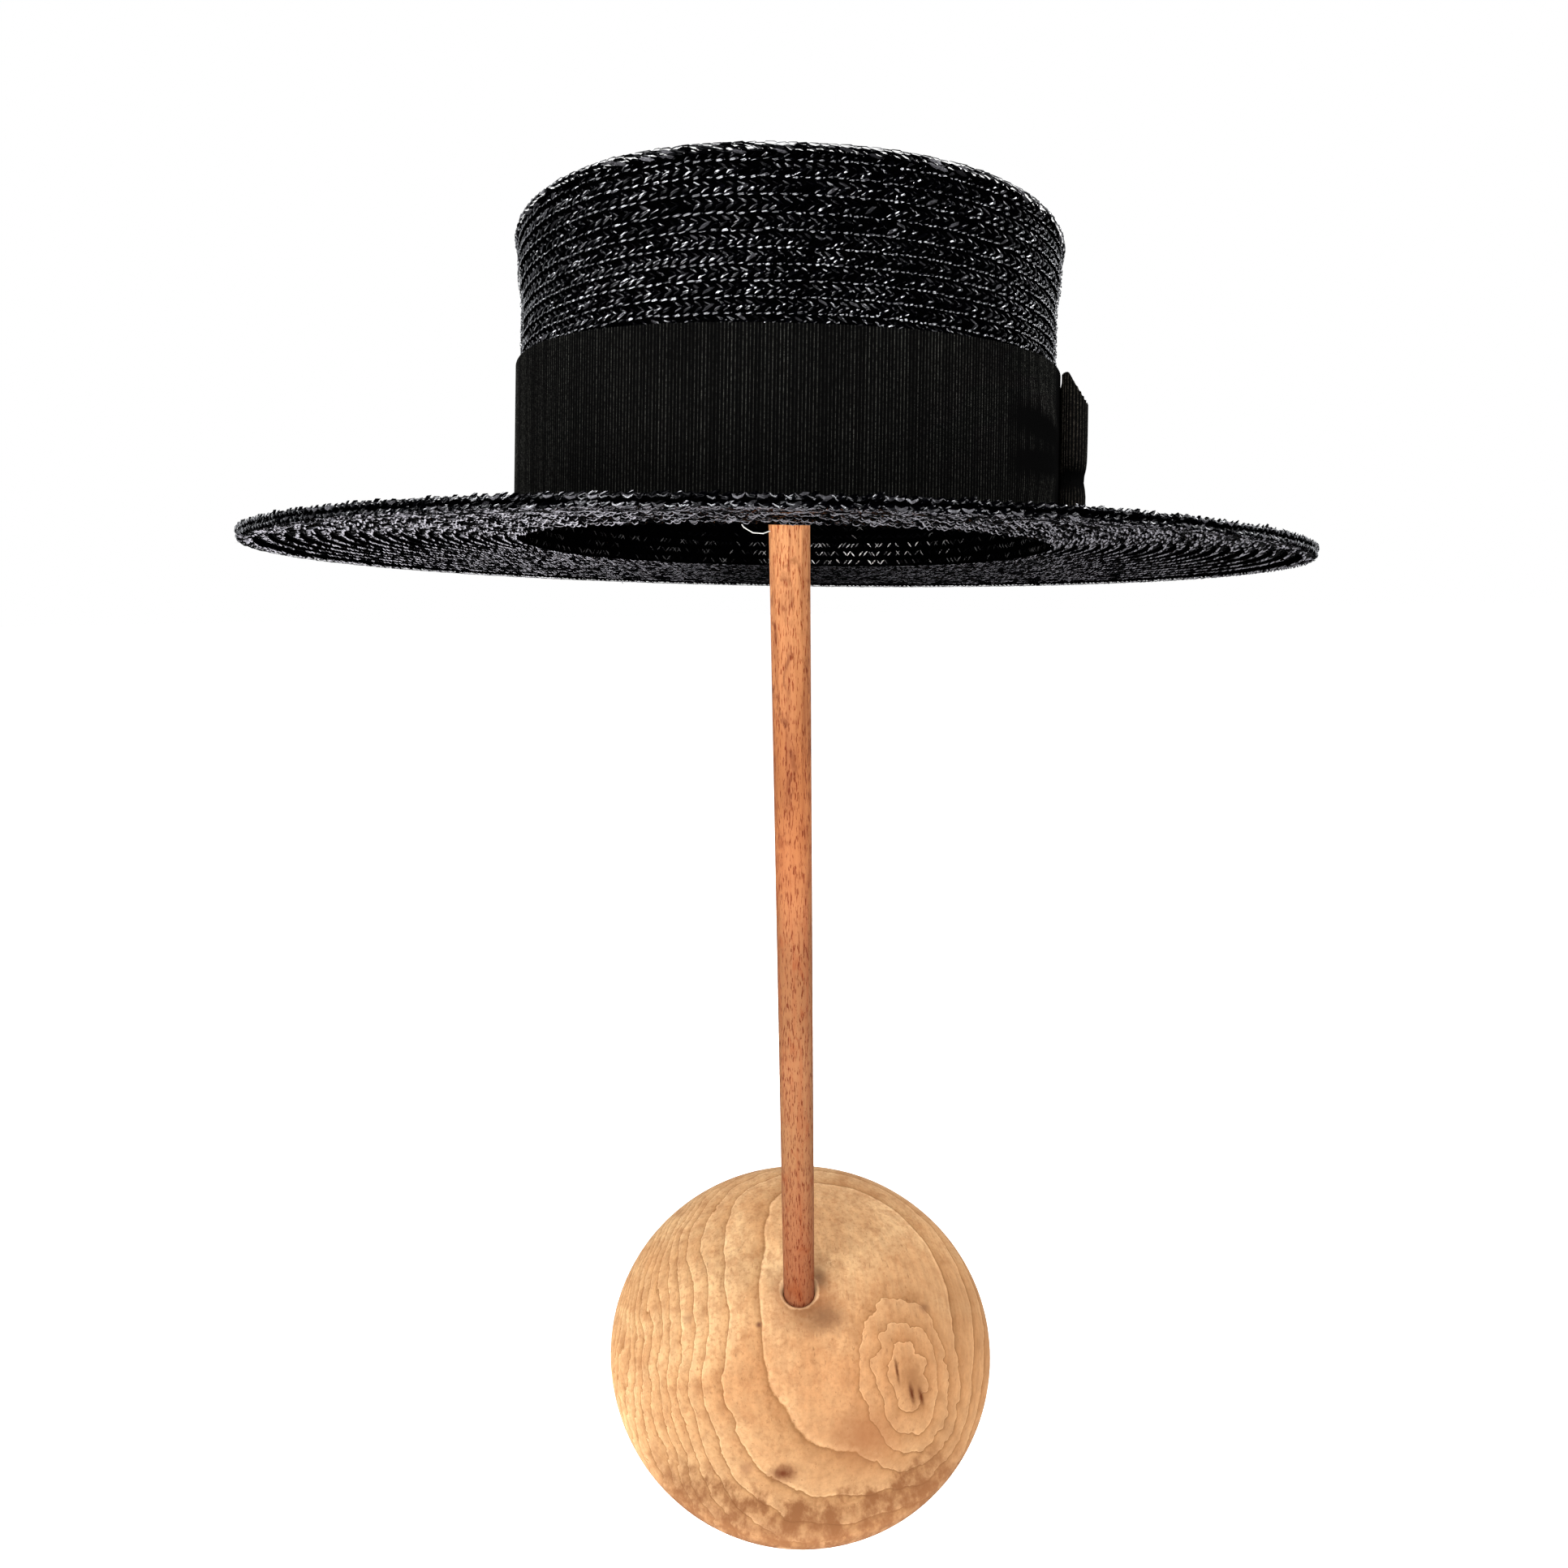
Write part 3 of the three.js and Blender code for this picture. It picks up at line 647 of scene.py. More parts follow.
HAT_PLACE = (-1.4, 0.0, 388.6)
HAT_NOD, HAT_SIDE = math.radians(-1.4), math.radians(1.8)
OVAL_POWER, OVAL_SHORTER = 2.25, 12.8
CROWN_HEIGHT, CROWN_BASE_HALF, CROWN_TOP_HALF = 89.6, 96.9, 90.0
CROWN_WALL, CROWN_FLARE, FLARE_FROM, FLARE_TO = 1.9, 1.2, 71.0, 80.0
TIP_THICKNESS, TIP_HALF, TIP_EDGE_RUN, TIP_EDGE_DROP = 1.7, 91.9, 2.0, 1.3
EDGE_COURSES = (0.3, 1.35, 2.4)     # how far down over the rolled edge each of its courses runs
EDGE_ROLL, EDGE_MIDDLE = 1.2, 1.35  # radius of the rolled edge, and how far down it faces out
ROW_WIDTH = 3.9                     # how much of each turn shows
ROW_STEP = 0.7                      # how far its free edge stands proud of the next turn
SIDE_SEAT, TIP_SEAT = 0.15, 0.45    # how deep a row's face lies, to leave room for its crests
BAND_TOP = 48.0
LINING_FROM, LINING_GLINTS_TO = -2.0, 6.0     # where the lining starts, and how far up its strands carry painted highlights
CREST = 0.14                        # how far a straw bows out over the ones under it
CORE_SEGMENTS, CORE_DEPTH, CORE_FOOT = 180, 0.95, -1.9
CORE_INNER_DEPTH = CORE_DEPTH + 0.5
TINY = 1e-12                        # keeps a division by nothing from failing

hat_turn = np.array(Matrix.Rotation(HAT_SIDE, 3, "Y") @ Matrix.Rotation(HAT_NOD, 3, "X"))


def on_stand(points):
    """Points of the hat's own frame, in the row frame. Both are in millimetres."""
    return np.asarray(points) @ hat_turn.T + np.array(HAT_PLACE)


def unit(vectors):
    return vectors / (np.linalg.norm(vectors, axis=-1, keepdims=True) + TINY)


def crown_half(z):
    """Half length of the side's straw surface at a height. The top rows flare out a little."""
    share = np.clip((z - FLARE_FROM) / (FLARE_TO - FLARE_FROM), 0, 1)
    taper = CROWN_BASE_HALF + (CROWN_TOP_HALF - CROWN_BASE_HALF) * z / CROWN_HEIGHT
    return taper + CROWN_FLARE * share * share * (3 - 2 * share)


def oval_point(half_length, half_width, angle, power):
    c, s = np.cos(angle), np.sin(angle)
    x = half_length * np.sign(c) * np.abs(c) ** (2 / power)
    y = half_width * np.sign(s) * np.abs(s) ** (2 / power)
    return x, y


def oval_normal(half_length, half_width, x, y, power):
    across = np.sign(x) * np.abs(x / half_length) ** (power - 1) / half_length
    along = np.sign(y) * np.abs(y / half_width) ** (power - 1) / half_width
    size = np.hypot(across, along) + TINY
    return across / size, along / size


def crown_oval(half, angle):
    """A point of an oval of the crown and the way it faces there, both in plan."""
    x, y = oval_point(half, half - OVAL_SHORTER, angle, OVAL_POWER)
    nx, ny = oval_normal(half, half - OVAL_SHORTER, x, y, OVAL_POWER)
    return x, y, nx, ny


class Line:
    """A closed line round the hat, that gives the oval's angle at a distance run along it."""

    def __init__(self, half_length, half_width, power):
        self.angles = np.linspace(0, 2 * math.pi, 1441)
        x, y = oval_point(half_length, half_width, self.angles, power)
        steps = np.hypot(np.diff(x), np.diff(y))
        self.run = np.concatenate([[0], np.cumsum(steps)])
        self.length = self.run[-1]

    def angle_at(self, distance):
        return np.interp(np.mod(distance, self.length), self.run, self.angles)


def crown_line(half):
    return Line(half, max(half - OVAL_SHORTER, 0.6), OVAL_POWER)


# Each straw of the plait is a short strand: its stations say how far along the row (in units of
# the plait), how far in from the free edge (mm) and how high over the row's face (mm) it runs,
# and how wide it is there. "back" leans one way, "over" the other, and "loop" turns at the edge.
BACK_STRAND = np.array([
    (-0.56, 4.0, -0.34, 0.0), (-0.28, 3.45, -0.06, 0.30),
    (0.20, 2.75, -0.06, 0.32), (0.50, 2.2, -0.34, 0.0),
])
OVER_STRAND = np.array([
    (0.62, 2.85, -0.28, 0.0), (0.33, 2.25, 0.06, 0.40),
    (-0.20, 1.40, 0.10, 0.44), (-0.52, 0.85, -0.22, 0.0),
])
LOOP_STRAND = np.array([
    (-0.52, 0.26, -0.24, 0.0), (-0.30, 0.04, 0.17, 0.26),
    (0.22, 0.34, 0.18, 0.30), (0.44, 0.64, -0.24, 0.0),
])
LINING_STRAND = np.array([(-0.55, 3.4, -0.30, 0.0), (0.0, 2.2, 0.10, 0.32), (0.50, 1.0, -0.25, 0.0)])
EDGE_STRAND = np.array([
    (-0.95, -0.36, -0.35, 0.0), (-0.40, -0.20, 0.02, 0.34),
    (0.32, 0.12, 0.10, 0.38), (0.95, 0.36, -0.30, 0.0),
])
SIDE_STRANDS = (
    {"stations": BACK_STRAND, "roll": (0.0, 0.26), "crest": 0.18, "shine": (0.0, 0.75)},
    {"stations": OVER_STRAND, "roll": (0.0, 0.28), "crest": 0.25, "shine": (0.0, 1.0)},
    {"stations": LOOP_STRAND, "roll": (-0.12, 0.09), "crest": 0.07, "shine": (0.5, 1.0)},
)
START_SPREAD, ALONG_SPREAD = 0.09, 0.05       # in units of the plait
INWARD_SPREAD, LIFT_SPREAD = 0.13, 0.05       # of whole strands, in mm
INWARD_WAVER, LIFT_WAVER = 0.05, 0.015        # of each station along a strand
WIDTH_RANGE, CREST_RANGE = (0.85, 1.12), (0.7, 1.25)


class Strands:
    """Collects strands of equal make and turns them into one mesh. Each is a three-sided straw:
    its two edges and its crest, drawn to a point at either end."""

    def __init__(self):
        self.points, self.quads, self.triangles, self.count = [], [], [], 0
        self.tones, self.acrosses, self.wears_and_sheens = [], [], []

    def add(self, centres, normals, half_widths, crests, tones, wears_and_sheens):
        """centres and normals are (strands, stations, 3); the first and last station are points."""
        strands, stations = half_widths.shape
        side = unit(np.cross(np.gradient(centres, axis=1), normals))
        middle = slice(1, stations - 1)
        reach = side[:, middle] * half_widths[:, middle, None]
        crest = centres[:, middle] + normals[:, middle] * crests[:, middle, None]
        rings = np.stack([centres[:, middle] - reach, crest, centres[:, middle] + reach], 2)
        inner = stations - 2
        body = rings.reshape(strands, inner * 3, 3)
        points = np.concatenate([centres[:, :1], body, centres[:, -1:]], 1)
        size = inner * 3 + 2
        sides = ((0, 1), (1, 2), (2, 0))
        quads = []
        for here in range(1, size - 4, 3):
            quads += [(here + a, here + b, here + 3 + b, here + 3 + a) for a, b in sides]
        tail = size - 4
        triangles = []
        for a, b in sides:
            triangles += [(0, 1 + b, 1 + a), (size - 1, tail + a, tail + b)]
        first = self.count + np.arange(strands)[:, None, None] * size
        if quads:
            self.quads.append((first + np.array(quads)).reshape(-1, 4))
        self.triangles.append((first + np.array(triangles)).reshape(-1, 3))
        self.points.append(points.reshape(-1, 3))
        self.tones.append(np.repeat(tones, size))
        self.wears_and_sheens.append(np.repeat(wears_and_sheens, size))
        self.acrosses.append(np.tile([0] + [-1, 0, 1] * inner + [0], strands))
        self.count += strands * size

    def piece(self, name, material, replaced=()):
        polygons = [np.concatenate(kind) for kind in (self.quads, self.triangles) if kind]
        values = {"tone": np.concatenate(self.tones), "across": np.concatenate(self.acrosses),
                  "wear_and_sheen": np.concatenate(self.wears_and_sheens)}
        make_piece(name, on_stand(np.concatenate(self.points)), polygons, material, replaced,
                   values, sharp_over=110)


def plait(strands, rng, line, surface, stations, pitch, turn=1, wear_and_sheen=(-1.6, 0.12), roll=(0.0, 0.2),
          crest=CREST, shine=(0.0, 1.0), fade=None):
    """Adds one kind of strand all along a row. surface(angle, inward) gives a point and a normal.
    The range of paleness and the range of shine say how pale and how glossy the strands are; the pale grey
    is partly wear and partly painted sheen and light. roll is the mean and spread of their tilt.
    fade(angle) says where along the row the pale ones are."""
    units = max(6, int(round(line.length / pitch)))
    spacing = line.length / units
    each, every = (units, 1), (units, len(stations))
    start = (np.arange(units) + rng.normal(0, START_SPREAD, units)) * spacing
    along = start[:, None] + stations[:, 0] * spacing * turn
    along = along + rng.normal(0, ALONG_SPREAD, every) * spacing
    inward = stations[:, 1] + rng.normal(0, INWARD_SPREAD, each) + rng.normal(0, INWARD_WAVER, every)
    lift = stations[:, 2] + rng.normal(0, LIFT_SPREAD, each) + rng.normal(0, LIFT_WAVER, every)
    point, normal = surface(line.angle_at(along), inward)
    centres = point + normal * lift[..., None]
    wide = stations[:, 3] * rng.uniform(*WIDTH_RANGE, each)
    crests = np.where(stations[:, 3] > 0, crest, 0) * rng.uniform(*CREST_RANGE, each)
    side = unit(np.cross(np.gradient(centres, axis=1), normal))
    tilt = rng.normal(*roll, each)[..., None]
    leaning = normal * np.cos(tilt) + side * np.sin(tilt)
    # Painted sheen and wear: how pale each strand is painted.
    wear_and_sheen_share = np.clip(rng.uniform(*wear_and_sheen, units), 0, 1)
    if fade is not None:
        wear_and_sheen_share = wear_and_sheen_share * fade(line.angle_at(start))
    strands.add(centres, leaning, wide, crests, rng.uniform(*shine, units), wear_and_sheen_share)


def side_surface(free_z):
    """A row of the side, from its free lower edge up. It leans in by one step per row."""
    def surface(angle, inward):
        z = free_z + inward
        x, y, nx, ny = crown_oval(crown_half(z) - ROW_STEP * inward / ROW_WIDTH - SIDE_SEAT, angle)
        return np.stack([x, y, z], -1), np.stack([nx, ny, np.zeros_like(nx)], -1)
    return surface


def lining_surface(free_z):
    """A row of the crown's inside, which faces the head."""
    def surface(angle, inward):
        z = free_z + inward
        x, y, nx, ny = crown_oval(crown_half(z) - CROWN_WALL + ROW_STEP * inward / ROW_WIDTH * 0.6, angle)
        return np.stack([x, y, z], -1), -np.stack([nx, ny, np.zeros_like(nx)], -1)
    return surface


def tip_surface(free_half):
    """A row of the flat tip. The outermost one curves down over the top of the side."""
    def surface(angle, inward):
        half = np.maximum(free_half - inward, OVAL_SHORTER + 0.2)
        x, y, nx, ny = crown_oval(half, angle)
        over = np.clip((half - TIP_HALF + TIP_EDGE_RUN) / TIP_EDGE_RUN, 0, 1)
        fall = TIP_EDGE_DROP * (1 - np.sqrt(1 - np.minimum(over, 0.98) ** 2))
        z = CROWN_HEIGHT - TIP_SEAT - fall - ROW_STEP * 0.5 * inward / ROW_WIDTH
        return np.stack([x, y, z], -1), unit(np.stack([nx * over, ny * over, np.full_like(nx, 0.8)], -1))
    return surface


def edge_surface(angle, around):
    """The rolled edge where the tip meets the side. around runs down over it, in millimetres."""
    turn = (EDGE_MIDDLE - around) / EDGE_ROLL
    x, y, nx, ny = crown_oval(TIP_HALF - EDGE_ROLL + EDGE_ROLL * np.cos(turn), angle)
    z = CROWN_HEIGHT - EDGE_ROLL + EDGE_ROLL * np.sin(turn)
    return np.stack([x, y, z], -1), np.stack([nx * np.cos(turn), ny * np.cos(turn), np.sin(turn)], -1)


def lining_glints(angle):
    """The lining's strands are painted pale, as highlights of their varnish, in one stretch on its far
    side, and a little everywhere.
    """
    return 0.08 + 0.92 * np.exp(-((np.degrees(angle) - 68.0) / 22.0) ** 2)


def make_crown(straw, lining_straw, straw_core):
    rng = np.random.default_rng(21)
    side = Strands()
    for row in range(1, int((CROWN_HEIGHT - BAND_TOP) / ROW_WIDTH) + 2):
        z = CROWN_HEIGHT - row * ROW_WIDTH
        pitch = rng.uniform(2.4, 3.05)
        for kind in SIDE_STRANDS:
            plait(side, rng, crown_line(crown_half(z)), side_surface(z), pitch=pitch, **kind)
    side.piece("crown_side_straw", straw, ("crown_side",))

    tip = Strands()
    half = TIP_HALF
    while half > OVAL_SHORTER + 0.5:
        pitch = rng.uniform(2.5, 2.9)
        for stations in (BACK_STRAND, OVER_STRAND):
            plait(tip, rng, crown_line(half), tip_surface(half), stations, pitch, shine=(0, 0.6))
        half -= ROW_WIDTH
    # Painted light: some strands of the rolled edge are painted pale grey where the edge catches light from
    # above.
    for course in EDGE_COURSES:
        plait(tip, rng, crown_line(TIP_HALF), edge_surface, EDGE_STRAND + [0, course, 0, 0], 2.7,
              wear_and_sheen=(-1.2, 0.25), shine=(0, 0.32))
    tip.piece("crown_tip_straw", straw, ("crown_tip",))

    lining = Strands()
    z = LINING_FROM
    while z < CROWN_HEIGHT - TIP_THICKNESS - ROW_WIDTH:
        pitch, wear_and_sheen = (2.0, (-2.8, 1.0)) if z < LINING_GLINTS_TO else (3.2, (-3.0, 0.2))
        for turn in (-1, 1):
            plait(lining, rng, crown_line(crown_half(z) - CROWN_WALL), lining_surface(z), LINING_STRAND,
                  pitch, turn=turn, wear_and_sheen=wear_and_sheen, fade=lining_glints)
        z += ROW_WIDTH
    lining.piece("crown_inner_straw", lining_straw)
    make_core("crown_core", crown_core_rings(), straw_core)


def core_ring(half_length, half_width, z, power=OVAL_POWER, shift=0.0):
    x, y = oval_point(half_length, half_width, round_angles(CORE_SEGMENTS), power)
    return np.stack([x + shift, y, np.full_like(x, z)], -1)


def crown_core_rings():
    """The sewn layers under the straws that show: up the outside, over the tip and down inside."""
    top, ceiling = CROWN_HEIGHT - CORE_DEPTH, CROWN_HEIGHT - TIP_THICKNESS
    steps = [(crown_half(z) - CORE_DEPTH, z) for z in np.linspace(CORE_FOOT, ceiling, 24)]
    steps += [(TIP_HALF - 0.9, ceiling + 0.1), (TIP_HALF - 1.6, top - 0.4), (TIP_HALF - 3.0, top)]
    rings = [core_ring(half, half - OVAL_SHORTER, z) for half, z in steps]
    for z, shares in ((top, (0.8, 0.5, 0.2)), (ceiling, (0.2, 0.5, 0.8))):
        rings += [core_ring(TIP_HALF * share, (TIP_HALF - OVAL_SHORTER) * share, z) for share in shares]
    for z in np.linspace(ceiling, CORE_FOOT, 12):
        half = crown_half(z) - CORE_INNER_DEPTH
        rings.append(core_ring(half, half - OVAL_SHORTER, z))
    return rings


def make_core(name, rings, material):
    quads = ring_quads(len(rings), CORE_SEGMENTS, closed_rings=True)
    make_piece(name, on_stand(np.concatenate(rings)), [quads], material, sharp_over=50)


def attribute(tree, name):
    return add_node(tree, "ShaderNodeAttribute", attribute_name=name).outputs["Fac"]


def straw_material(name, gloss, smoothest, wear_and_sheen_colour):
    """Lacquered black straw. Some strands have kept their gloss, and some are painted grey: partly wear,
    partly painted sheen where they catch light and reflect the pale floor.
    """
    material, tree = blank_material(name)
    place, _ = object_place(tree)
    tone, across, wear_and_sheen = (attribute(tree, value) for value in ("tone", "across", "wear_and_sheen"))
    grain = noise(tree, place, 2600.0, 2.0, 0.6)
    knobbly = noise(tree, place, 620.0, 1.0, 0.5)
    phase = plus(tree, times(tree, across, 8.0), times(tree, tone, 6.0))
    ribs = times(tree, arithmetic(tree, "COSINE", phase), 0.006)
    height = plus(tree, ribs, times(tree, knobbly, 0.045))
    colour = mixed(tree, tone, (0.0001, 0.0001, 0.0002, 1), (0.0004, 0.0004, 0.0007, 1))
    # Painted sheen and wear: the pale strands have their colour painted towards the grey given.
    wear_and_sheen_share = times(tree, wear_and_sheen, stretch(tree, grain, 0.30, 0.70, 0.35, 1.0))
    rough = plus(tree, times(tree, grain, 0.04), times(tree, wear_and_sheen, 0.14))
    finish_material(tree, principled(tree, {
        "Base Color": mixed(tree, wear_and_sheen_share, colour, wear_and_sheen_colour), "Normal": bumped(tree, height, 1.0, MM),
        "Roughness": plus(tree, rough, smoothest),
        "IOR": 1.6,
        "Specular IOR Level": times(tree, raised(tree, tone, 2.0), gloss),
        "Specular Tint": (0.94, 0.95, 1.0, 1),
    }))
    return material


def straw_core_material():
    """The hidden layers: dull black, so that the gaps between strands stay dark."""
    material, tree = blank_material("black_straw_core")
    place, _ = object_place(tree)
    uneven = noise(tree, place, 900.0, 2.0)
    finish_material(tree, principled(tree, {
        "Base Color": mixed(tree, uneven, (0.0001, 0.0001, 0.0001, 1), (0.0003, 0.0003, 0.0004, 1)),
        "Roughness": 0.9, "Specular IOR Level": 0.0,
    }))
    return material


# The outside straw's grey is painted sheen and reflection, and partly wear.
black_straw = straw_material("black_straw", 1.0, 0.07, (0.35, 0.34, 0.375, 1))
# Painted highlights: the inside straw's near-white paints the glints of its varnish.
dull_straw = straw_material("black_straw_inside", 0.04, 0.35, (0.85, 0.84, 0.84, 1))
core_straw = straw_core_material()
make_crown(black_straw, dull_straw, core_straw)


# ---- Brim -------------------------------------------------------------------------------
# The same plait goes on outwards as a flat brim, stiff with sizing and drooping a little at the
# rim. On top each turn lies over the next one out, and underneath the inner edges show. The last
# turn is sewn double, so that two rounded edges lie one over the other round the rim.

BRIM_HALF_LENGTH, BRIM_HALF_WIDTH, BRIM_POWER, BRIM_SHIFT = 174.0, 161.2, 2.0, -1.7
BRIM_THICKNESS, BRIM_DROOP, RIM_THICKNESS = 2.1, 6.6, 3.6
BRIM_INNER = CROWN_BASE_HALF + 0.46
BRIM_WIDTH = BRIM_HALF_LENGTH - BRIM_INNER
UNDER_STEP = 1.4                    # how far a row's free edge hangs below the next, underneath
ROW_SEAT, RIM_SEAT = 0.25, 0.35     # how deep the face of a row lies in the plait's thickness
RIM_COURSES = ((0.30, 2.15), (-1.15, 2.35))   # level of each rounded edge, and pitch of its plait
BRIM_ROWS = int(round(BRIM_WIDTH / ROW_WIDTH))
STRAW_ENDS = 34
RIM_BACK_STRAND = np.array([        # here "inward" runs down the rim's upright face
    (-0.55, 0.55, -0.12, 0.0), (-0.22, 0.22, -0.04, 0.40),
    (0.22, -0.28, -0.04, 0.40), (0.55, -0.62, -0.16, 0.0),
])
RIM_STRAND = np.array([
    (-0.60, -0.46, -0.24, 0.0), (-0.34, 0.02, 0.08, 0.25), (0.0, 0.30, 0.18, 0.30),
    (0.34, 0.02, 0.08, 0.25), (0.60, -0.46, -0.24, 0.0),
])
UNDER_BACK_STRAND = np.array([
    (-0.98, 3.4, -0.34, 0.0), (-0.45, 2.90, 0.02, 0.23),
    (0.35, 2.40, 0.02, 0.25), (0.92, 1.9, -0.34, 0.0),
])
UNDER_OVER_STRAND = np.array([
    (0.98, 2.3, -0.34, 0.0), (0.45, 1.75, 0.04, 0.28),
    (-0.32, 1.20, 0.10, 0.30), (-0.90, 0.7, -0.20, 0.0),
])
UNDER_LOOP_STRAND = np.array([
    (-0.60, 0.85, -0.60, 0.0), (-0.32, 0.38, 0.0, 0.21), (0.0, 0.20, 0.20, 0.26),
    (0.32, 0.38, 0.0, 0.21), (0.60, 0.85, -0.60, 0.0),
])
UNDER_STRANDS = (                   # with the range of how pale they are painted: painted sheen from the floor, and some wear
    (UNDER_BACK_STRAND, (-4.0, 0.9)), (UNDER_OVER_STRAND, (-2.4, 1.9)), (UNDER_LOOP_STRAND, (-1.5, 2.2)),
)


def under_painted_light(angle):
    """The underside is painted palest at the left end, as painted light, and least at the back, which is
    left in shade.
    """
    left, right = np.clip(-np.cos(angle), 0, 1), np.clip(np.cos(angle), 0, 1)
    front = np.clip(-np.sin(angle), 0, 1)
    return 0.07 + 1.75 * left ** 1.3 + 0.40 * right + 0.42 * front


def brim_outline(share):
    """Half length, half width and power of the brim's oval, from its inner edge to its rim."""
    half_length = BRIM_INNER + (BRIM_HALF_LENGTH - BRIM_INNER) * share
    half_width = BRIM_INNER - OVAL_SHORTER + (BRIM_HALF_WIDTH - BRIM_INNER + OVAL_SHORTER) * share
    return half_length, half_width, OVAL_POWER + (BRIM_POWER - OVAL_POWER) * share


def brim_oval(share, angle):
    """A point of an oval of the brim and the way it faces there, both in plan."""
    half_length, half_width, power = brim_outline(share)
    x, y = oval_point(half_length, half_width, angle, power)
    nx, ny = oval_normal(half_length, half_width, x, y, power)
    return x, y, nx, ny


def brim_line(share):
    return Line(*brim_outline(share))


def brim_surface(free_share, above, base, towards, slope=ROW_STEP):
    """A row of the brim from its free edge. towards is -1 where the row lies inside that edge."""
    def surface(angle, inward):
        share = free_share + towards * inward / BRIM_WIDTH
        half_length, half_width, power = brim_outline(share)
        x, y = oval_point(half_length, half_width, angle, power)
        x = x + BRIM_SHIFT * share
        nx, ny = oval_normal(half_length, half_width, x, y, power)
        facing = 1 if above else -1
        z = -BRIM_DROOP * share ** 2 + base - facing * slope * inward / ROW_WIDTH
        tilt = facing * 2 * BRIM_DROOP * share / BRIM_WIDTH
        normal = unit(np.stack([nx * tilt, ny * tilt, np.full_like(nx, facing)], -1))
        return np.stack([x, y, z], -1), normal
    return surface


def rim_surface(level):
    """The rim's upright face at a level. Down it runs what elsewhere is inward."""
    def surface(angle, down):
        x, y, nx, ny = brim_oval(1.0, angle)
        point = [x - nx * RIM_SEAT + BRIM_SHIFT, y - ny * RIM_SEAT, -BRIM_DROOP + level - down]
        return np.stack(point, -1), np.stack([nx, ny, np.zeros_like(nx)], -1)
    return surface


def add_straw_ends(strands, rng, line):
    """Ends of straw that have come loose and stand out a little from the rim."""
    each = (STRAW_ENDS, 1)
    angle = line.angle_at(rng.uniform(0, line.length, STRAW_ENDS))[:, None]
    out = np.array([[-2.4, -0.6, 1.0]]) * rng.uniform(0.6, 1.1, each)
    drift = np.array([[0.0, 0.006, 0.016]]) * rng.normal(0, 1, each)
    drop = np.array([[0.0, 0.5, 1.0]]) * rng.normal(-0.5, 0.6, each) - rng.uniform(0, 2.0, each)
    x, y, nx, ny = brim_oval(1.0, angle + drift)
    centres = np.stack([x + nx * out + BRIM_SHIFT, y + ny * out, drop - BRIM_DROOP], -1)
    upwards = np.broadcast_to((0.0, 0.0, 1.0), centres.shape)
    wide = np.tile([0.0, 0.22, 0.0], each)
    shine, wear_and_sheen = rng.uniform(0, 1, STRAW_ENDS), rng.uniform(0, 0.3, STRAW_ENDS)
    strands.add(centres, upwards, wide, wide * 0.4, shine, wear_and_sheen)


def make_brim_faces(rng, shares, straw):
    """The rows of the two faces, in an inner and an outer half."""
    half = BRIM_ROWS // 2 + 2
    for part, chosen in (("inner", shares[:half]), ("outer", shares[half:-1])):
        top = Strands()
        for share in chosen:
            pitch = rng.uniform(2.35, 2.85)
            surface = brim_surface(share, True, -ROW_SEAT, -1)
            for stations in (BACK_STRAND, OVER_STRAND):
                plait(top, rng, brim_line(share), surface, stations, pitch)
        top.piece("brim_top_" + part, straw, ("brim",) if part == "inner" else ())
        under = Strands()
        for share in chosen:
            pitch = rng.uniform(2.35, 2.85)
            free = share - 1 / BRIM_ROWS
            surface = brim_surface(free, False, ROW_SEAT - BRIM_THICKNESS, 1, UNDER_STEP)
            for stations, wear_and_sheen in UNDER_STRANDS:
                plait(under, rng, brim_line(max(free, 0.001)), surface, stations, pitch, turn=-1,
                      wear_and_sheen=wear_and_sheen, shine=(0.0, 0.5), fade=under_painted_light)
        under.piece("brim_under_" + part, straw)


def make_rim(rng, last_row, straw):
    """The doubled last turn: a row above, a row below, and the two rounded edges between them."""
    rim = Strands()
    line = brim_line(1.0)
    rise = (RIM_THICKNESS - BRIM_THICKNESS) / 2
    surface = brim_surface(1.0, True, rise - RIM_SEAT, -1, slope=0.25)
    # Painted sheen and light: the rim's pale strands are painted grey where the rim catches light, partly
    # wear as well.
    for stations in (BACK_STRAND, OVER_STRAND):
        plait(rim, rng, line, surface, stations, 2.2, wear_and_sheen=(-0.6, 0.25), shine=(0.0, 0.4))
    surface = brim_surface(last_row, False, -ROW_SEAT - BRIM_THICKNESS, 1, slope=0.1)
    for stations, wear_and_sheen in UNDER_STRANDS:
        plait(rim, rng, line, surface, stations + [0, 0.1, 0, 0], 2.3, turn=-1, wear_and_sheen=wear_and_sheen,
              shine=(0.0, 0.5), fade=under_painted_light)
    for level, pitch in RIM_COURSES:
        plait(rim, rng, line, rim_surface(level), RIM_BACK_STRAND, pitch, shine=(0.0, 0.6))
        plait(rim, rng, line, rim_surface(level), RIM_STRAND, pitch, wear_and_sheen=(-0.8, 0.25),
              roll=(-0.14, 0.10), shine=(0.1, 0.75))
    add_straw_ends(rim, rng, line)
    rim.piece("brim_rim", straw)


def brim_core_ring(share, below):
    half_length, half_width, power = brim_outline(share)
    return core_ring(half_length, half_width, -BRIM_DROOP * share ** 2 + below, power, BRIM_SHIFT * share)


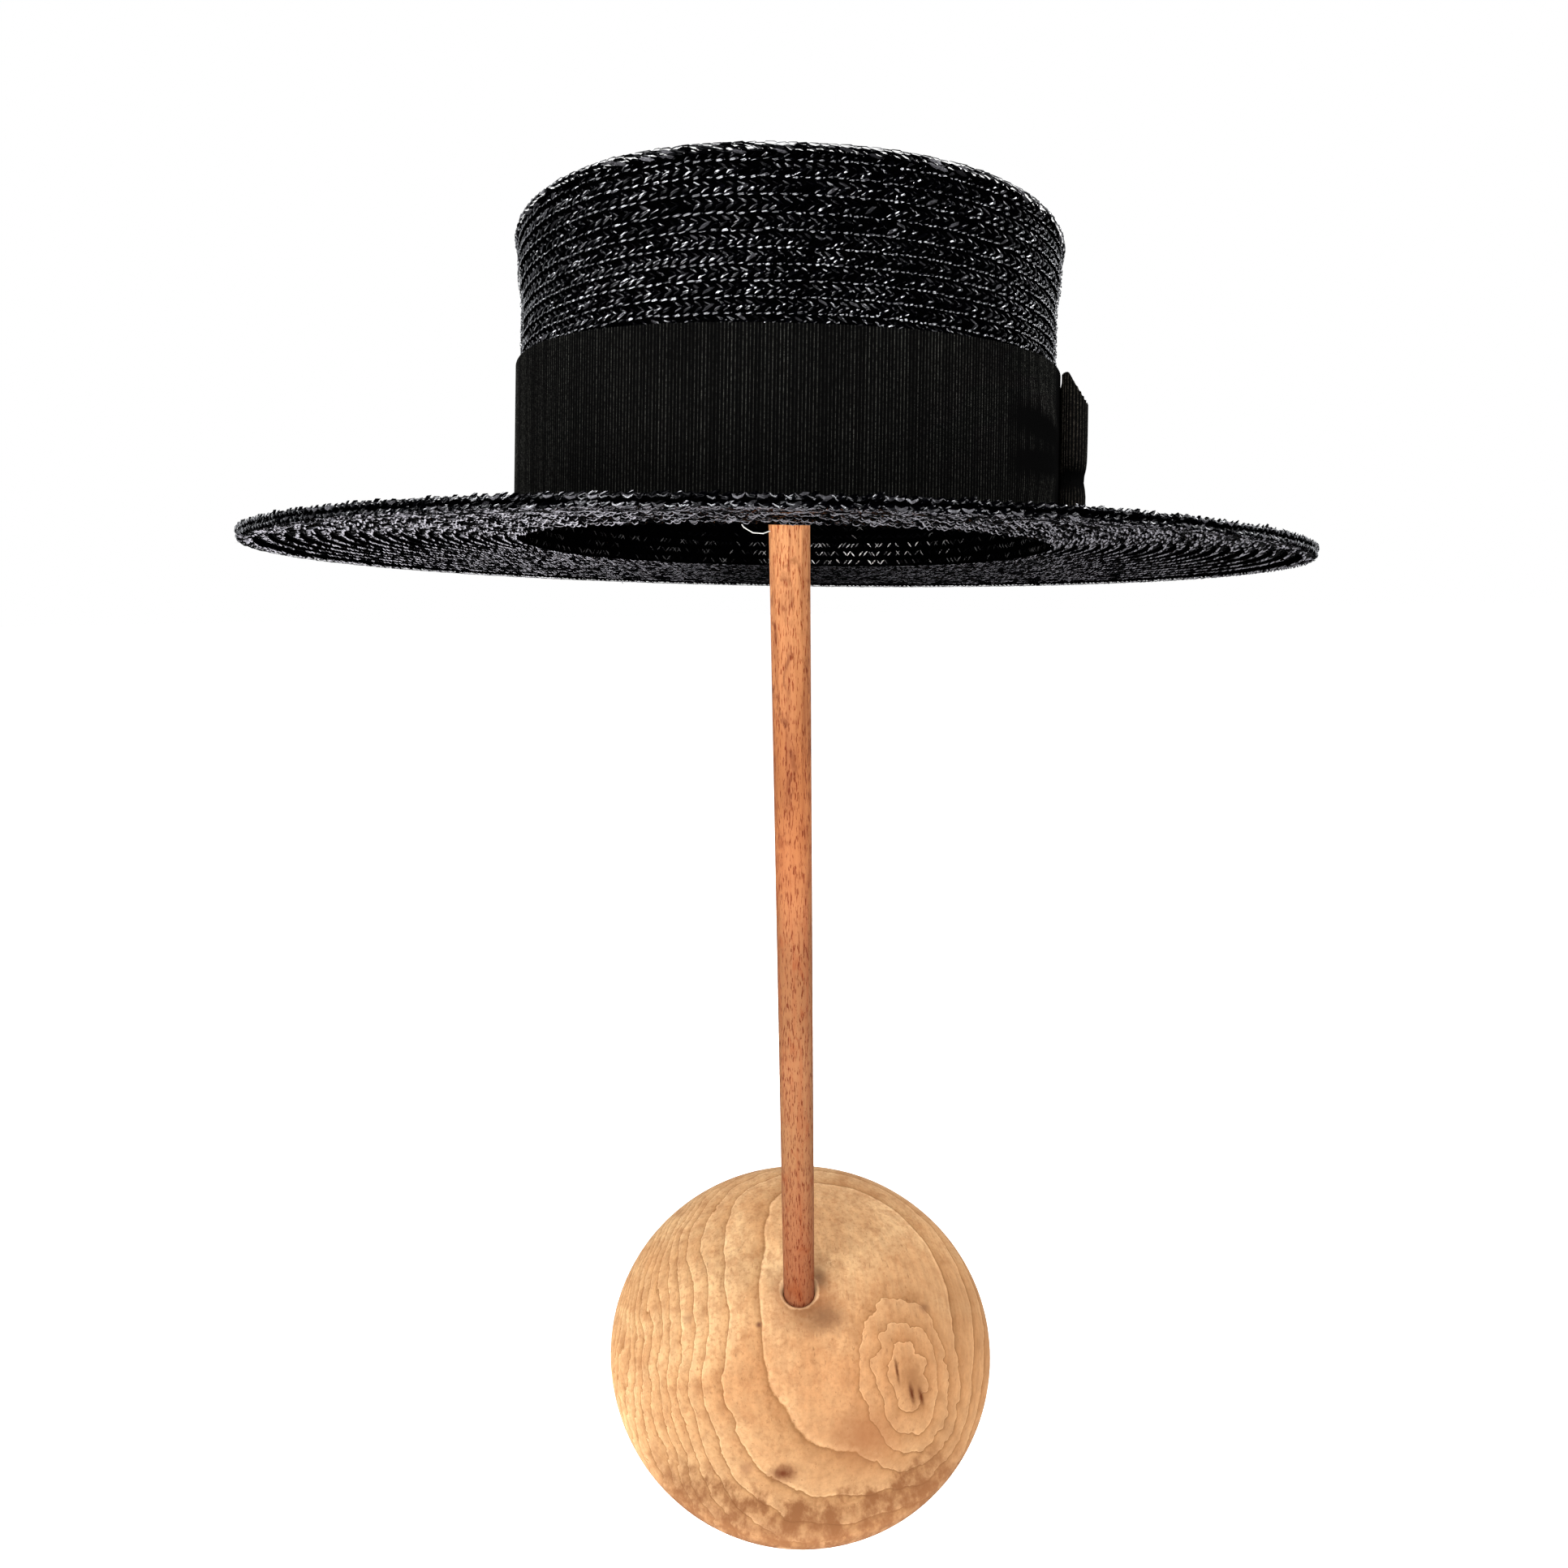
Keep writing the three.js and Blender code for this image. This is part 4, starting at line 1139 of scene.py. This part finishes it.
def brim_core_rings(shares):
    """The sewn layers of the brim. They step down by a row at a time, as the rows themselves do."""
    inner, outer, edge = -0.016, 0.985, 0.992    # shares of the brim's width
    over, over_free, under_free, under = -1.15, -0.55, -0.8, -1.6    # depths below the brim's face
    top, bottom = [(inner, over)], [(inner, under)]
    for share in shares:
        free = share - 0.08 / BRIM_ROWS
        top += [(free, over_free), (min(share, outer), over)]
        bottom += [(free, under_free), (min(share, outer), under)]
    rim = [(outer, 0.15), (edge, -0.1), (edge, -1.45), (outer, under)]
    return [brim_core_ring(*ring) for ring in top + rim + bottom[::-1]]


def make_brim(straw, straw_core):
    rng = np.random.default_rng(34)
    shares = [(row + 1) / BRIM_ROWS for row in range(BRIM_ROWS)]
    make_brim_faces(rng, shares, straw)
    make_rim(rng, shares[-2], straw)
    make_core("brim_core", brim_core_rings(shares), straw_core)


make_brim(black_straw, core_straw)


# ---- Loose thread -----------------------------------------------------------------------
# An end of the white sewing thread that has come loose. It hangs in a small curve just inside
# the opening, in front, caught at both ends between the rows of braid.

THREAD_PATH = np.array([            # millimetres in the row frame
    (-17.2, -80.0, 390.6), (-15.9, -80.4, 388.6), (-13.4, -80.8, 387.1),
    (-10.6, -80.4, 386.9), (-8.6, -79.6, 387.6),
])
THREAD_RADIUS, THREAD_SIDES, THREAD_STATIONS = 0.16, 6, 25


def make_thread():
    material, tree = blank_material("white_thread")
    finish_material(tree, principled(tree, {
        "Base Color": (0.62, 0.61, 0.58, 1), "Roughness": 0.8, "Specular IOR Level": 0.2,
    }))
    corners = np.arange(len(THREAD_PATH))
    share = np.linspace(0, corners[-1], THREAD_STATIONS)
    middle = np.stack([np.interp(share, corners, THREAD_PATH[:, k]) for k in range(3)], -1)
    sideways = np.array([0.0, 1.0, 0.0])
    across = unit(np.cross(unit(np.gradient(middle, axis=0)), sideways))
    turn = round_angles(THREAD_SIDES)[None, :, None]
    out = across[:, None] * np.cos(turn) + sideways * np.sin(turn)
    tube = (middle[:, None] + out * THREAD_RADIUS).reshape(-1, 3)
    caps = np.array([[0, k + 1, k] for k in range(1, THREAD_SIDES - 1)])
    last = len(tube) - THREAD_SIDES
    faces = [ring_quads(len(middle), THREAD_SIDES), np.concatenate([caps, caps[:, ::-1] + last])]
    make_piece("loose_thread", tube, faces, material)


make_thread()


# ---- Ribbon band ------------------------------------------------------------------------
# A wide black grosgrain ribbon, woven with round ribs across its width, drawn tight round the
# crown and pinched into soft creases where it runs under the bow.

BAND_BOTTOM, BAND_RISE, BAND_OUT, BAND_CLOTH = 0.5, 4.2, 1.3, 0.55
BAND_GIRTH_AT = 20                            # height at which its girth is taken
BAND_ROWS, BAND_BACK_ROWS = 22, 5
RIB_PITCH, RIB_DEPTH = 1.0, 0.24
RIB_SHAPE = np.array([0.0, 0.2, 1.0])         # height of a rib across its width
UNSEEN_RIB = 0.3                              # how light the ribbon's other face and hems are
FOLD_FROM, FOLD_TO = 24.0, 54.0               # degrees round from the middle of the bow
FOLD_WIDTH = 0.06                             # share of the band's height
FOLDS = [(0.60, 0.78, 0.8), (0.50, 0.50, 0.5), (0.40, 0.24, 0.8)]   # share near and far, mm
CREASE_DARK = 0.85
BOW_SHADE_FROM, BOW_SHADE_TO = 24.0, 34.0     # degrees round from the middle of the bow
RIB_HOLLOW_SHADE = (0.0003, 0.0003, 0.0003, 1)    # painted shade between the ribs


def along_fold(degrees):
    """0 where the creases come out from under the bow, and 1 where they have died away."""
    return np.clip((np.abs(degrees) - FOLD_FROM) / (FOLD_TO - FOLD_FROM), 0, 1)


def band_swell(degrees, share):
    """How far the soft ridges beside the bow stand out from the band."""
    along = along_fold(degrees)
    swell = 0
    for near, far, depth in FOLDS:
        across = (share - near - (far - near) * along) / (FOLD_WIDTH * (1 + along))
        swell = swell + depth * np.sin(math.pi * along) * np.exp(-across ** 2)
    return swell


def band_shade(degrees, share):
    """1 on the open band, and darker in the creases and close beside the bow."""
    along = along_fold(degrees)
    shade = np.clip((np.abs(degrees) - BOW_SHADE_FROM) / (BOW_SHADE_TO - BOW_SHADE_FROM), 0.08, 1)
    for (near, far, _), (next_near, next_far, _) in zip(FOLDS, FOLDS[1:]):
        crease = (near + next_near + (far + next_far - near - next_near) * along) / 2
        across = (share - crease) / (0.7 * FOLD_WIDTH * (1 + along))
        shade = shade * (1 - CREASE_DARK * np.sin(math.pi * along) * np.exp(-across ** 2))
    return shade


def strip_faces(columns, rows, closed):
    """Quads of a grid of columns by rows, the columns closed into a ring or not."""
    steps = columns if closed else columns - 1
    column, row = np.meshgrid(np.arange(steps), np.arange(rows - 1), indexing="ij")
    here, beside = column * rows + row, (column + 1) % columns * rows + row
    return np.stack([here, beside, beside + 1, here + 1], -1).reshape(-1, 4)


def hem_faces(front, back, closed, flipped):
    """Quads between an edge of the front layer and the same edge of the back layer."""
    if closed:
        front, back = np.append(front, front[0]), np.append(back, back[0])
    quads = np.stack([front[:-1], front[1:], back[1:], back[:-1]], -1)
    return quads[:, ::-1] if flipped else quads


def ribbon_faces(columns, rows, back_rows, closed):
    """The faces of a ribbon of two layers, hemmed all round: its front, its back and its edges."""
    count = columns * rows
    faces = [strip_faces(columns, rows, closed), strip_faces(columns, back_rows, closed)[:, ::-1] + count]
    column = np.arange(columns)
    for row, back_row, flipped in ((0, 0, True), (rows - 1, back_rows - 1, False)):
        back = count + column * back_rows + back_row
        faces.append(hem_faces(column * rows + row, back, closed, flipped))
    if not closed:
        row = np.arange(rows)
        for end, flipped in ((0, False), ((columns - 1) * rows, True)):
            faces.append(hem_faces(end + row, count + end + row, False, flipped))
    return faces


def rib_count(length):
    """How many ribs a length of ribbon has, and how many columns of points they take."""
    ribs = int(round(length / RIB_PITCH))
    return ribs, ribs * len(RIB_SHAPE)


def rib_heights(ribs):
    return np.tile(RIB_SHAPE, ribs)[:, None] * RIB_DEPTH


def rib_values(ribs, shade, total):
    """How light each point of the ribbed face is: its height on its rib, less in the creases."""
    uneven = np.random.default_rng(ribs).uniform(0.80, 1.12, ribs)
    front = (np.tile(RIB_SHAPE, ribs) * np.repeat(uneven, len(RIB_SHAPE)))[:, None] * shade
    return {"rib": np.concatenate([front.ravel(), np.full(total - front.size, UNSEEN_RIB)])}


def ribbon_piece(name, front, back, faces, replaced, ribs, shade, material):
    points = np.concatenate([front, back])
    return make_piece(name, on_stand(points), faces, material, (replaced,),
                      rib_values(ribs, shade, len(points)), sharp_over=75)


def make_band(material):
    half = crown_half(BAND_GIRTH_AT) + BAND_OUT
    line = Line(half, half - OVAL_SHORTER, OVAL_POWER)
    ribs, columns = rib_count(line.length)
    angle = line.angle_at(np.arange(columns) / columns * line.length)[:, None]
    degrees = (np.degrees(angle) + 180) % 360 - 180
    top = BAND_TOP + BAND_RISE * np.cos(angle) ** 2

    def layer(rows, offset, rib):
        share = np.linspace(0, 1, rows)[None]
        z = BAND_BOTTOM + (top - BAND_BOTTOM) * share
        out = crown_half(z) + offset + band_swell(degrees, share) + rib
        x, y = oval_point(out, out - OVAL_SHORTER, angle, OVAL_POWER)
        return np.stack([x, y, z], -1).reshape(-1, 3)

    front = layer(BAND_ROWS, BAND_OUT - RIB_DEPTH, rib_heights(ribs))
    back = layer(BAND_BACK_ROWS, BAND_OUT - BAND_CLOTH, 0)
    faces = ribbon_faces(columns, BAND_ROWS, BAND_BACK_ROWS, True)
    shade = band_shade(degrees, np.linspace(0, 1, BAND_ROWS)[None])
    band = ribbon_piece("ribbon_band", front, back, faces, "hat_band", ribs, shade, material)


def ribbon_material(name, lit_rib_colour):
    """Black grosgrain with painted light and shade: the tops of its ribs are painted lighter, unevenly, as
    lit, and its hollows are painted black as shade.
    """
    material, tree = blank_material(name)
    place, _ = object_place(tree)
    weave = noise(tree, scaled(tree, place, (1, 1, 1.6)), 2600.0, 2.0, 0.6)
    fade = noise(tree, place, 34.0, 3.0, 0.55)
    grainy = noise(tree, place, 1000.0, 2.0, 0.7)
    # Painted light and shade: the rib crests are painted lighter and the hollows black.
    lit = stretch(tree, attribute(tree, "rib"), 0.55, 0.95)
    lit = times(tree, lit, stretch(tree, weave, 0.32, 0.66, 0.1, 1.0))
    lit = times(tree, lit, stretch(tree, fade, 0.30, 0.70, 0.6, 1.0))
    lit = times(tree, lit, stretch(tree, grainy, 0.36, 0.64, 0.25, 1.0))
    finish_material(tree, principled(tree, {
        "Base Color": mixed(tree, lit, RIB_HOLLOW_SHADE, lit_rib_colour),
        "Normal": bumped(tree, weave, 0.6, 0.00015),
        "Roughness": 0.8, "Specular IOR Level": 0.02,
    }))
    return material


make_band(ribbon_material("black_ribbon", (0.042, 0.042, 0.037, 1)))


# ---- Bow --------------------------------------------------------------------------------
# A flat tailored bow of the same ribbon, sewn over the band's join: two loops that stand edge on
# to the crown, drawn in at the middle by a wrapped knot.

GAP = 0.3
BOW_LOOP, BOW_DEPTH, BOW_CLOTH = 40.0, 8.7, 0.75
BOW_BOTTOM, BOW_INNER_TOP, BOW_OUTER_TOP = 1.2, 51.3, 42.2
BOW_MIDDLE = (BOW_BOTTOM + BOW_INNER_TOP) / 2
BOW_THICK = 1.0
BOW_ROWS = 20
KNOT_WIDTH, BOW_WAIST, LEAF_PINCH = 13.0, 0.62, 0.45
KNOT_CORNER, KNOT_ROWS, KNOT_NARROWED = 1.3, 14, 0.10
LOOP_MOUTH, UNDER_KNOT = KNOT_WIDTH / 2 + GAP, 1.2   # where a loop shows, and how far it starts before
CLEARANCE = 0.5                     # between the band and the bow's inner leaves
SLOPE_FROM, SLOPE_TO = 2.3, 8.3     # depths between which the fold's upper edge slopes down
CREASE_AT, CREASE_WIDTH, CREASE_DEPTH = 19.5, 3.0, 3.2
TOOTH = 2.2                         # how much further the ribs stand out along the cut edge


def bow_point(s, d, z):
    """s runs along Y from the knot, and d is the distance out from the band."""
    out = crown_half(z) + GAP + BOW_THICK + CLEARANCE
    half_width = out - OVAL_SHORTER
    bend = 1 - np.minimum(1, np.abs(s) / half_width) ** OVAL_POWER
    point = np.broadcast_arrays(out * bend ** (1 / OVAL_POWER) + d, s, z)
    return np.stack(point, -1).reshape(-1, 3)


def run_along(route):
    return np.concatenate([[0], np.cumsum(np.hypot(*np.diff(route, axis=0).T))])


def loop_route():
    """The points of one loop, from under the knot out, round the fold and back: distance from
    the knot, depth, and share of the way from the inner leaf to the outer one."""
    half, turn = BOW_THICK / 2, (BOW_DEPTH - BOW_THICK) / 2
    straight = BOW_LOOP - turn
    route = [(s, half, 0.0) for s in np.linspace(LOOP_MOUTH - UNDER_KNOT, straight, 20)]
    for a in np.linspace(0, math.pi, 17)[1:-1]:
        route.append((straight + turn * math.sin(a), half + turn * (1 - math.cos(a)), a / math.pi))
    for s in np.linspace(straight, LOOP_MOUTH - UNDER_KNOT, 20):
        openness = np.clip((s - LOOP_MOUTH) / (straight - LOOP_MOUTH), 0, 1)
        pinch = LEAF_PINCH + (1 - LEAF_PINCH) * min(1, openness * 1.6)
        route.append((s, half + 2 * turn * pinch, 1.0))
    return np.array(route), straight


def make_loop(name, direction, replaced, material, seed):
    route, straight = loop_route()
    run = run_along(route[:, :2])
    length = run[-1]
    ribs, columns = rib_count(length)
    at = np.linspace(0, length, columns)
    s, d, leaf = (np.interp(at, run, route[:, k])[:, None] for k in range(3))
    step = unit(np.gradient(np.hstack([s, d]), axis=0))
    normal_s, normal_d = step[:, 1:], -step[:, :1]
    openness = np.clip((s - LOOP_MOUTH) / (straight - LOOP_MOUTH), 0, 1)
    rib = rib_heights(ribs)

    # The loop is drawn in at the knot, and its upper edge slopes down over the fold.
    spread = BOW_WAIST + (1 - BOW_WAIST) * openness ** np.where(leaf < 0.5, 0.2, 0.4)
    sloping = np.clip((d - SLOPE_FROM) / (SLOPE_TO - SLOPE_FROM), 0, 1)
    low = BOW_MIDDLE + (BOW_BOTTOM - BOW_MIDDLE) * spread
    high_end = BOW_INNER_TOP + (BOW_OUTER_TOP - BOW_INNER_TOP) * sloping * openness
    high = BOW_MIDDLE + (high_end - BOW_MIDDLE) * spread + rib * TOOTH * sloping
    across = np.linspace(0, 1, BOW_ROWS)[None]
    z = low + (high - low) * across

    # The pinch at the knot runs out along the loop as a groove between two soft folds.
    groove = np.exp(-((z - CREASE_AT) / CREASE_WIDTH) ** 2)
    first = np.random.default_rng(seed).uniform(0, 6)
    waves = 0.45 * np.sin(across * 9 + first) * (1 - openness) + 0.25 * np.sin(across * 5 + s * 0.12)
    outward = np.where(leaf > 0.5, 1, 0) * (waves * 0.6 - groove * 0.9)
    at_fold = np.sin(np.clip(leaf, 0, 1) * math.pi)
    s_moved = s - at_fold * groove * CREASE_DEPTH
    d_moved = d + outward * np.clip(openness * 3, 0.2, 1)

    def side(away):
        return bow_point((s_moved + normal_s * away) * direction, d_moved + normal_d * away, z)

    faces = ribbon_faces(columns, BOW_ROWS, BOW_ROWS, False)
    if direction < 0:
        faces = [f[:, ::-1] for f in faces]
    # Painted light and shade: the loop's rib crests are painted half as light again, and its groove is
    # painted dark as shade.
    loop = ribbon_piece(name, side(BOW_CLOTH / 2 + rib), side(-BOW_CLOTH / 2), faces, replaced,
                        ribs, 1.5 * (1 - groove), material)


def knot_outline():
    """The closed round-cornered outline of the knot's wrap: depth, and height from its middle."""
    outer = BOW_THICK + (BOW_DEPTH - BOW_THICK) * LEAF_PINCH
    low, high = -GAP - BOW_THICK / 2, outer + GAP + BOW_THICK / 2
    reach = (BOW_MIDDLE - BOW_BOTTOM) * BOW_WAIST + GAP + BOW_THICK / 2
    near, far, top = low + KNOT_CORNER, high - KNOT_CORNER, reach - KNOT_CORNER
    outline = []
    for d, z, first in ((far, top, 0), (near, top, 90), (near, -top, 180), (far, -top, 270)):
        for degrees in np.linspace(first, first + 90, 8):
            a = math.radians(degrees)
            outline.append((d + KNOT_CORNER * math.cos(a), z + KNOT_CORNER * math.sin(a)))
    return np.array(outline + outline[:1]), reach


def make_knot(material):
    outline, reach = knot_outline()
    run = run_along(outline)
    ribs, columns = rib_count(run[-1])
    at = np.arange(columns) / columns * run[-1]
    wrap = np.stack([np.interp(at, run, outline[:, k]) for k in range(2)], -1)
    tangent = unit(np.roll(wrap, -1, axis=0) - np.roll(wrap, 1, axis=0))
    d, z = wrap[:, :1], wrap[:, 1:]
    out_d, out_z = tangent[:, 1:], -tangent[:, :1]
    facing_out = np.clip(out_d, 0, 1)
    across = np.linspace(-1, 1, KNOT_ROWS)[None]
    narrow = 1 - KNOT_NARROWED * facing_out * np.cos(z / reach * math.pi / 2) ** 2
    gathers = 0.35 * np.cos(across * 7.5) * facing_out + 0.25 * (1 - across ** 2)
    front_away = BOW_CLOTH / 2 + rib_heights(ribs) * 0.8 + gathers * 0.6 - 0.2

    def side(away):
        return bow_point(across * narrow * KNOT_WIDTH / 2, d + out_d * away, BOW_MIDDLE + z + out_z * away)

    faces = [f[:, ::-1] for f in ribbon_faces(columns, KNOT_ROWS, KNOT_ROWS, True)]
    # Painted light: the knot's rib crests are painted a fifth lighter.
    knot = ribbon_piece("bow_knot_ribbon", side(front_away), side(-BOW_CLOTH / 2), faces, "bow_knot",
                        ribs, np.full_like(across, 1.2), material)


bow_ribbon = ribbon_material("bow_ribbon", (0.032, 0.028, 0.022, 1))
make_loop("bow_loop_front", -1, "bow_front_loop", bow_ribbon, 5)
make_loop("bow_loop_back", 1, "bow_back_loop", bow_ribbon, 6)
make_knot(bow_ribbon)
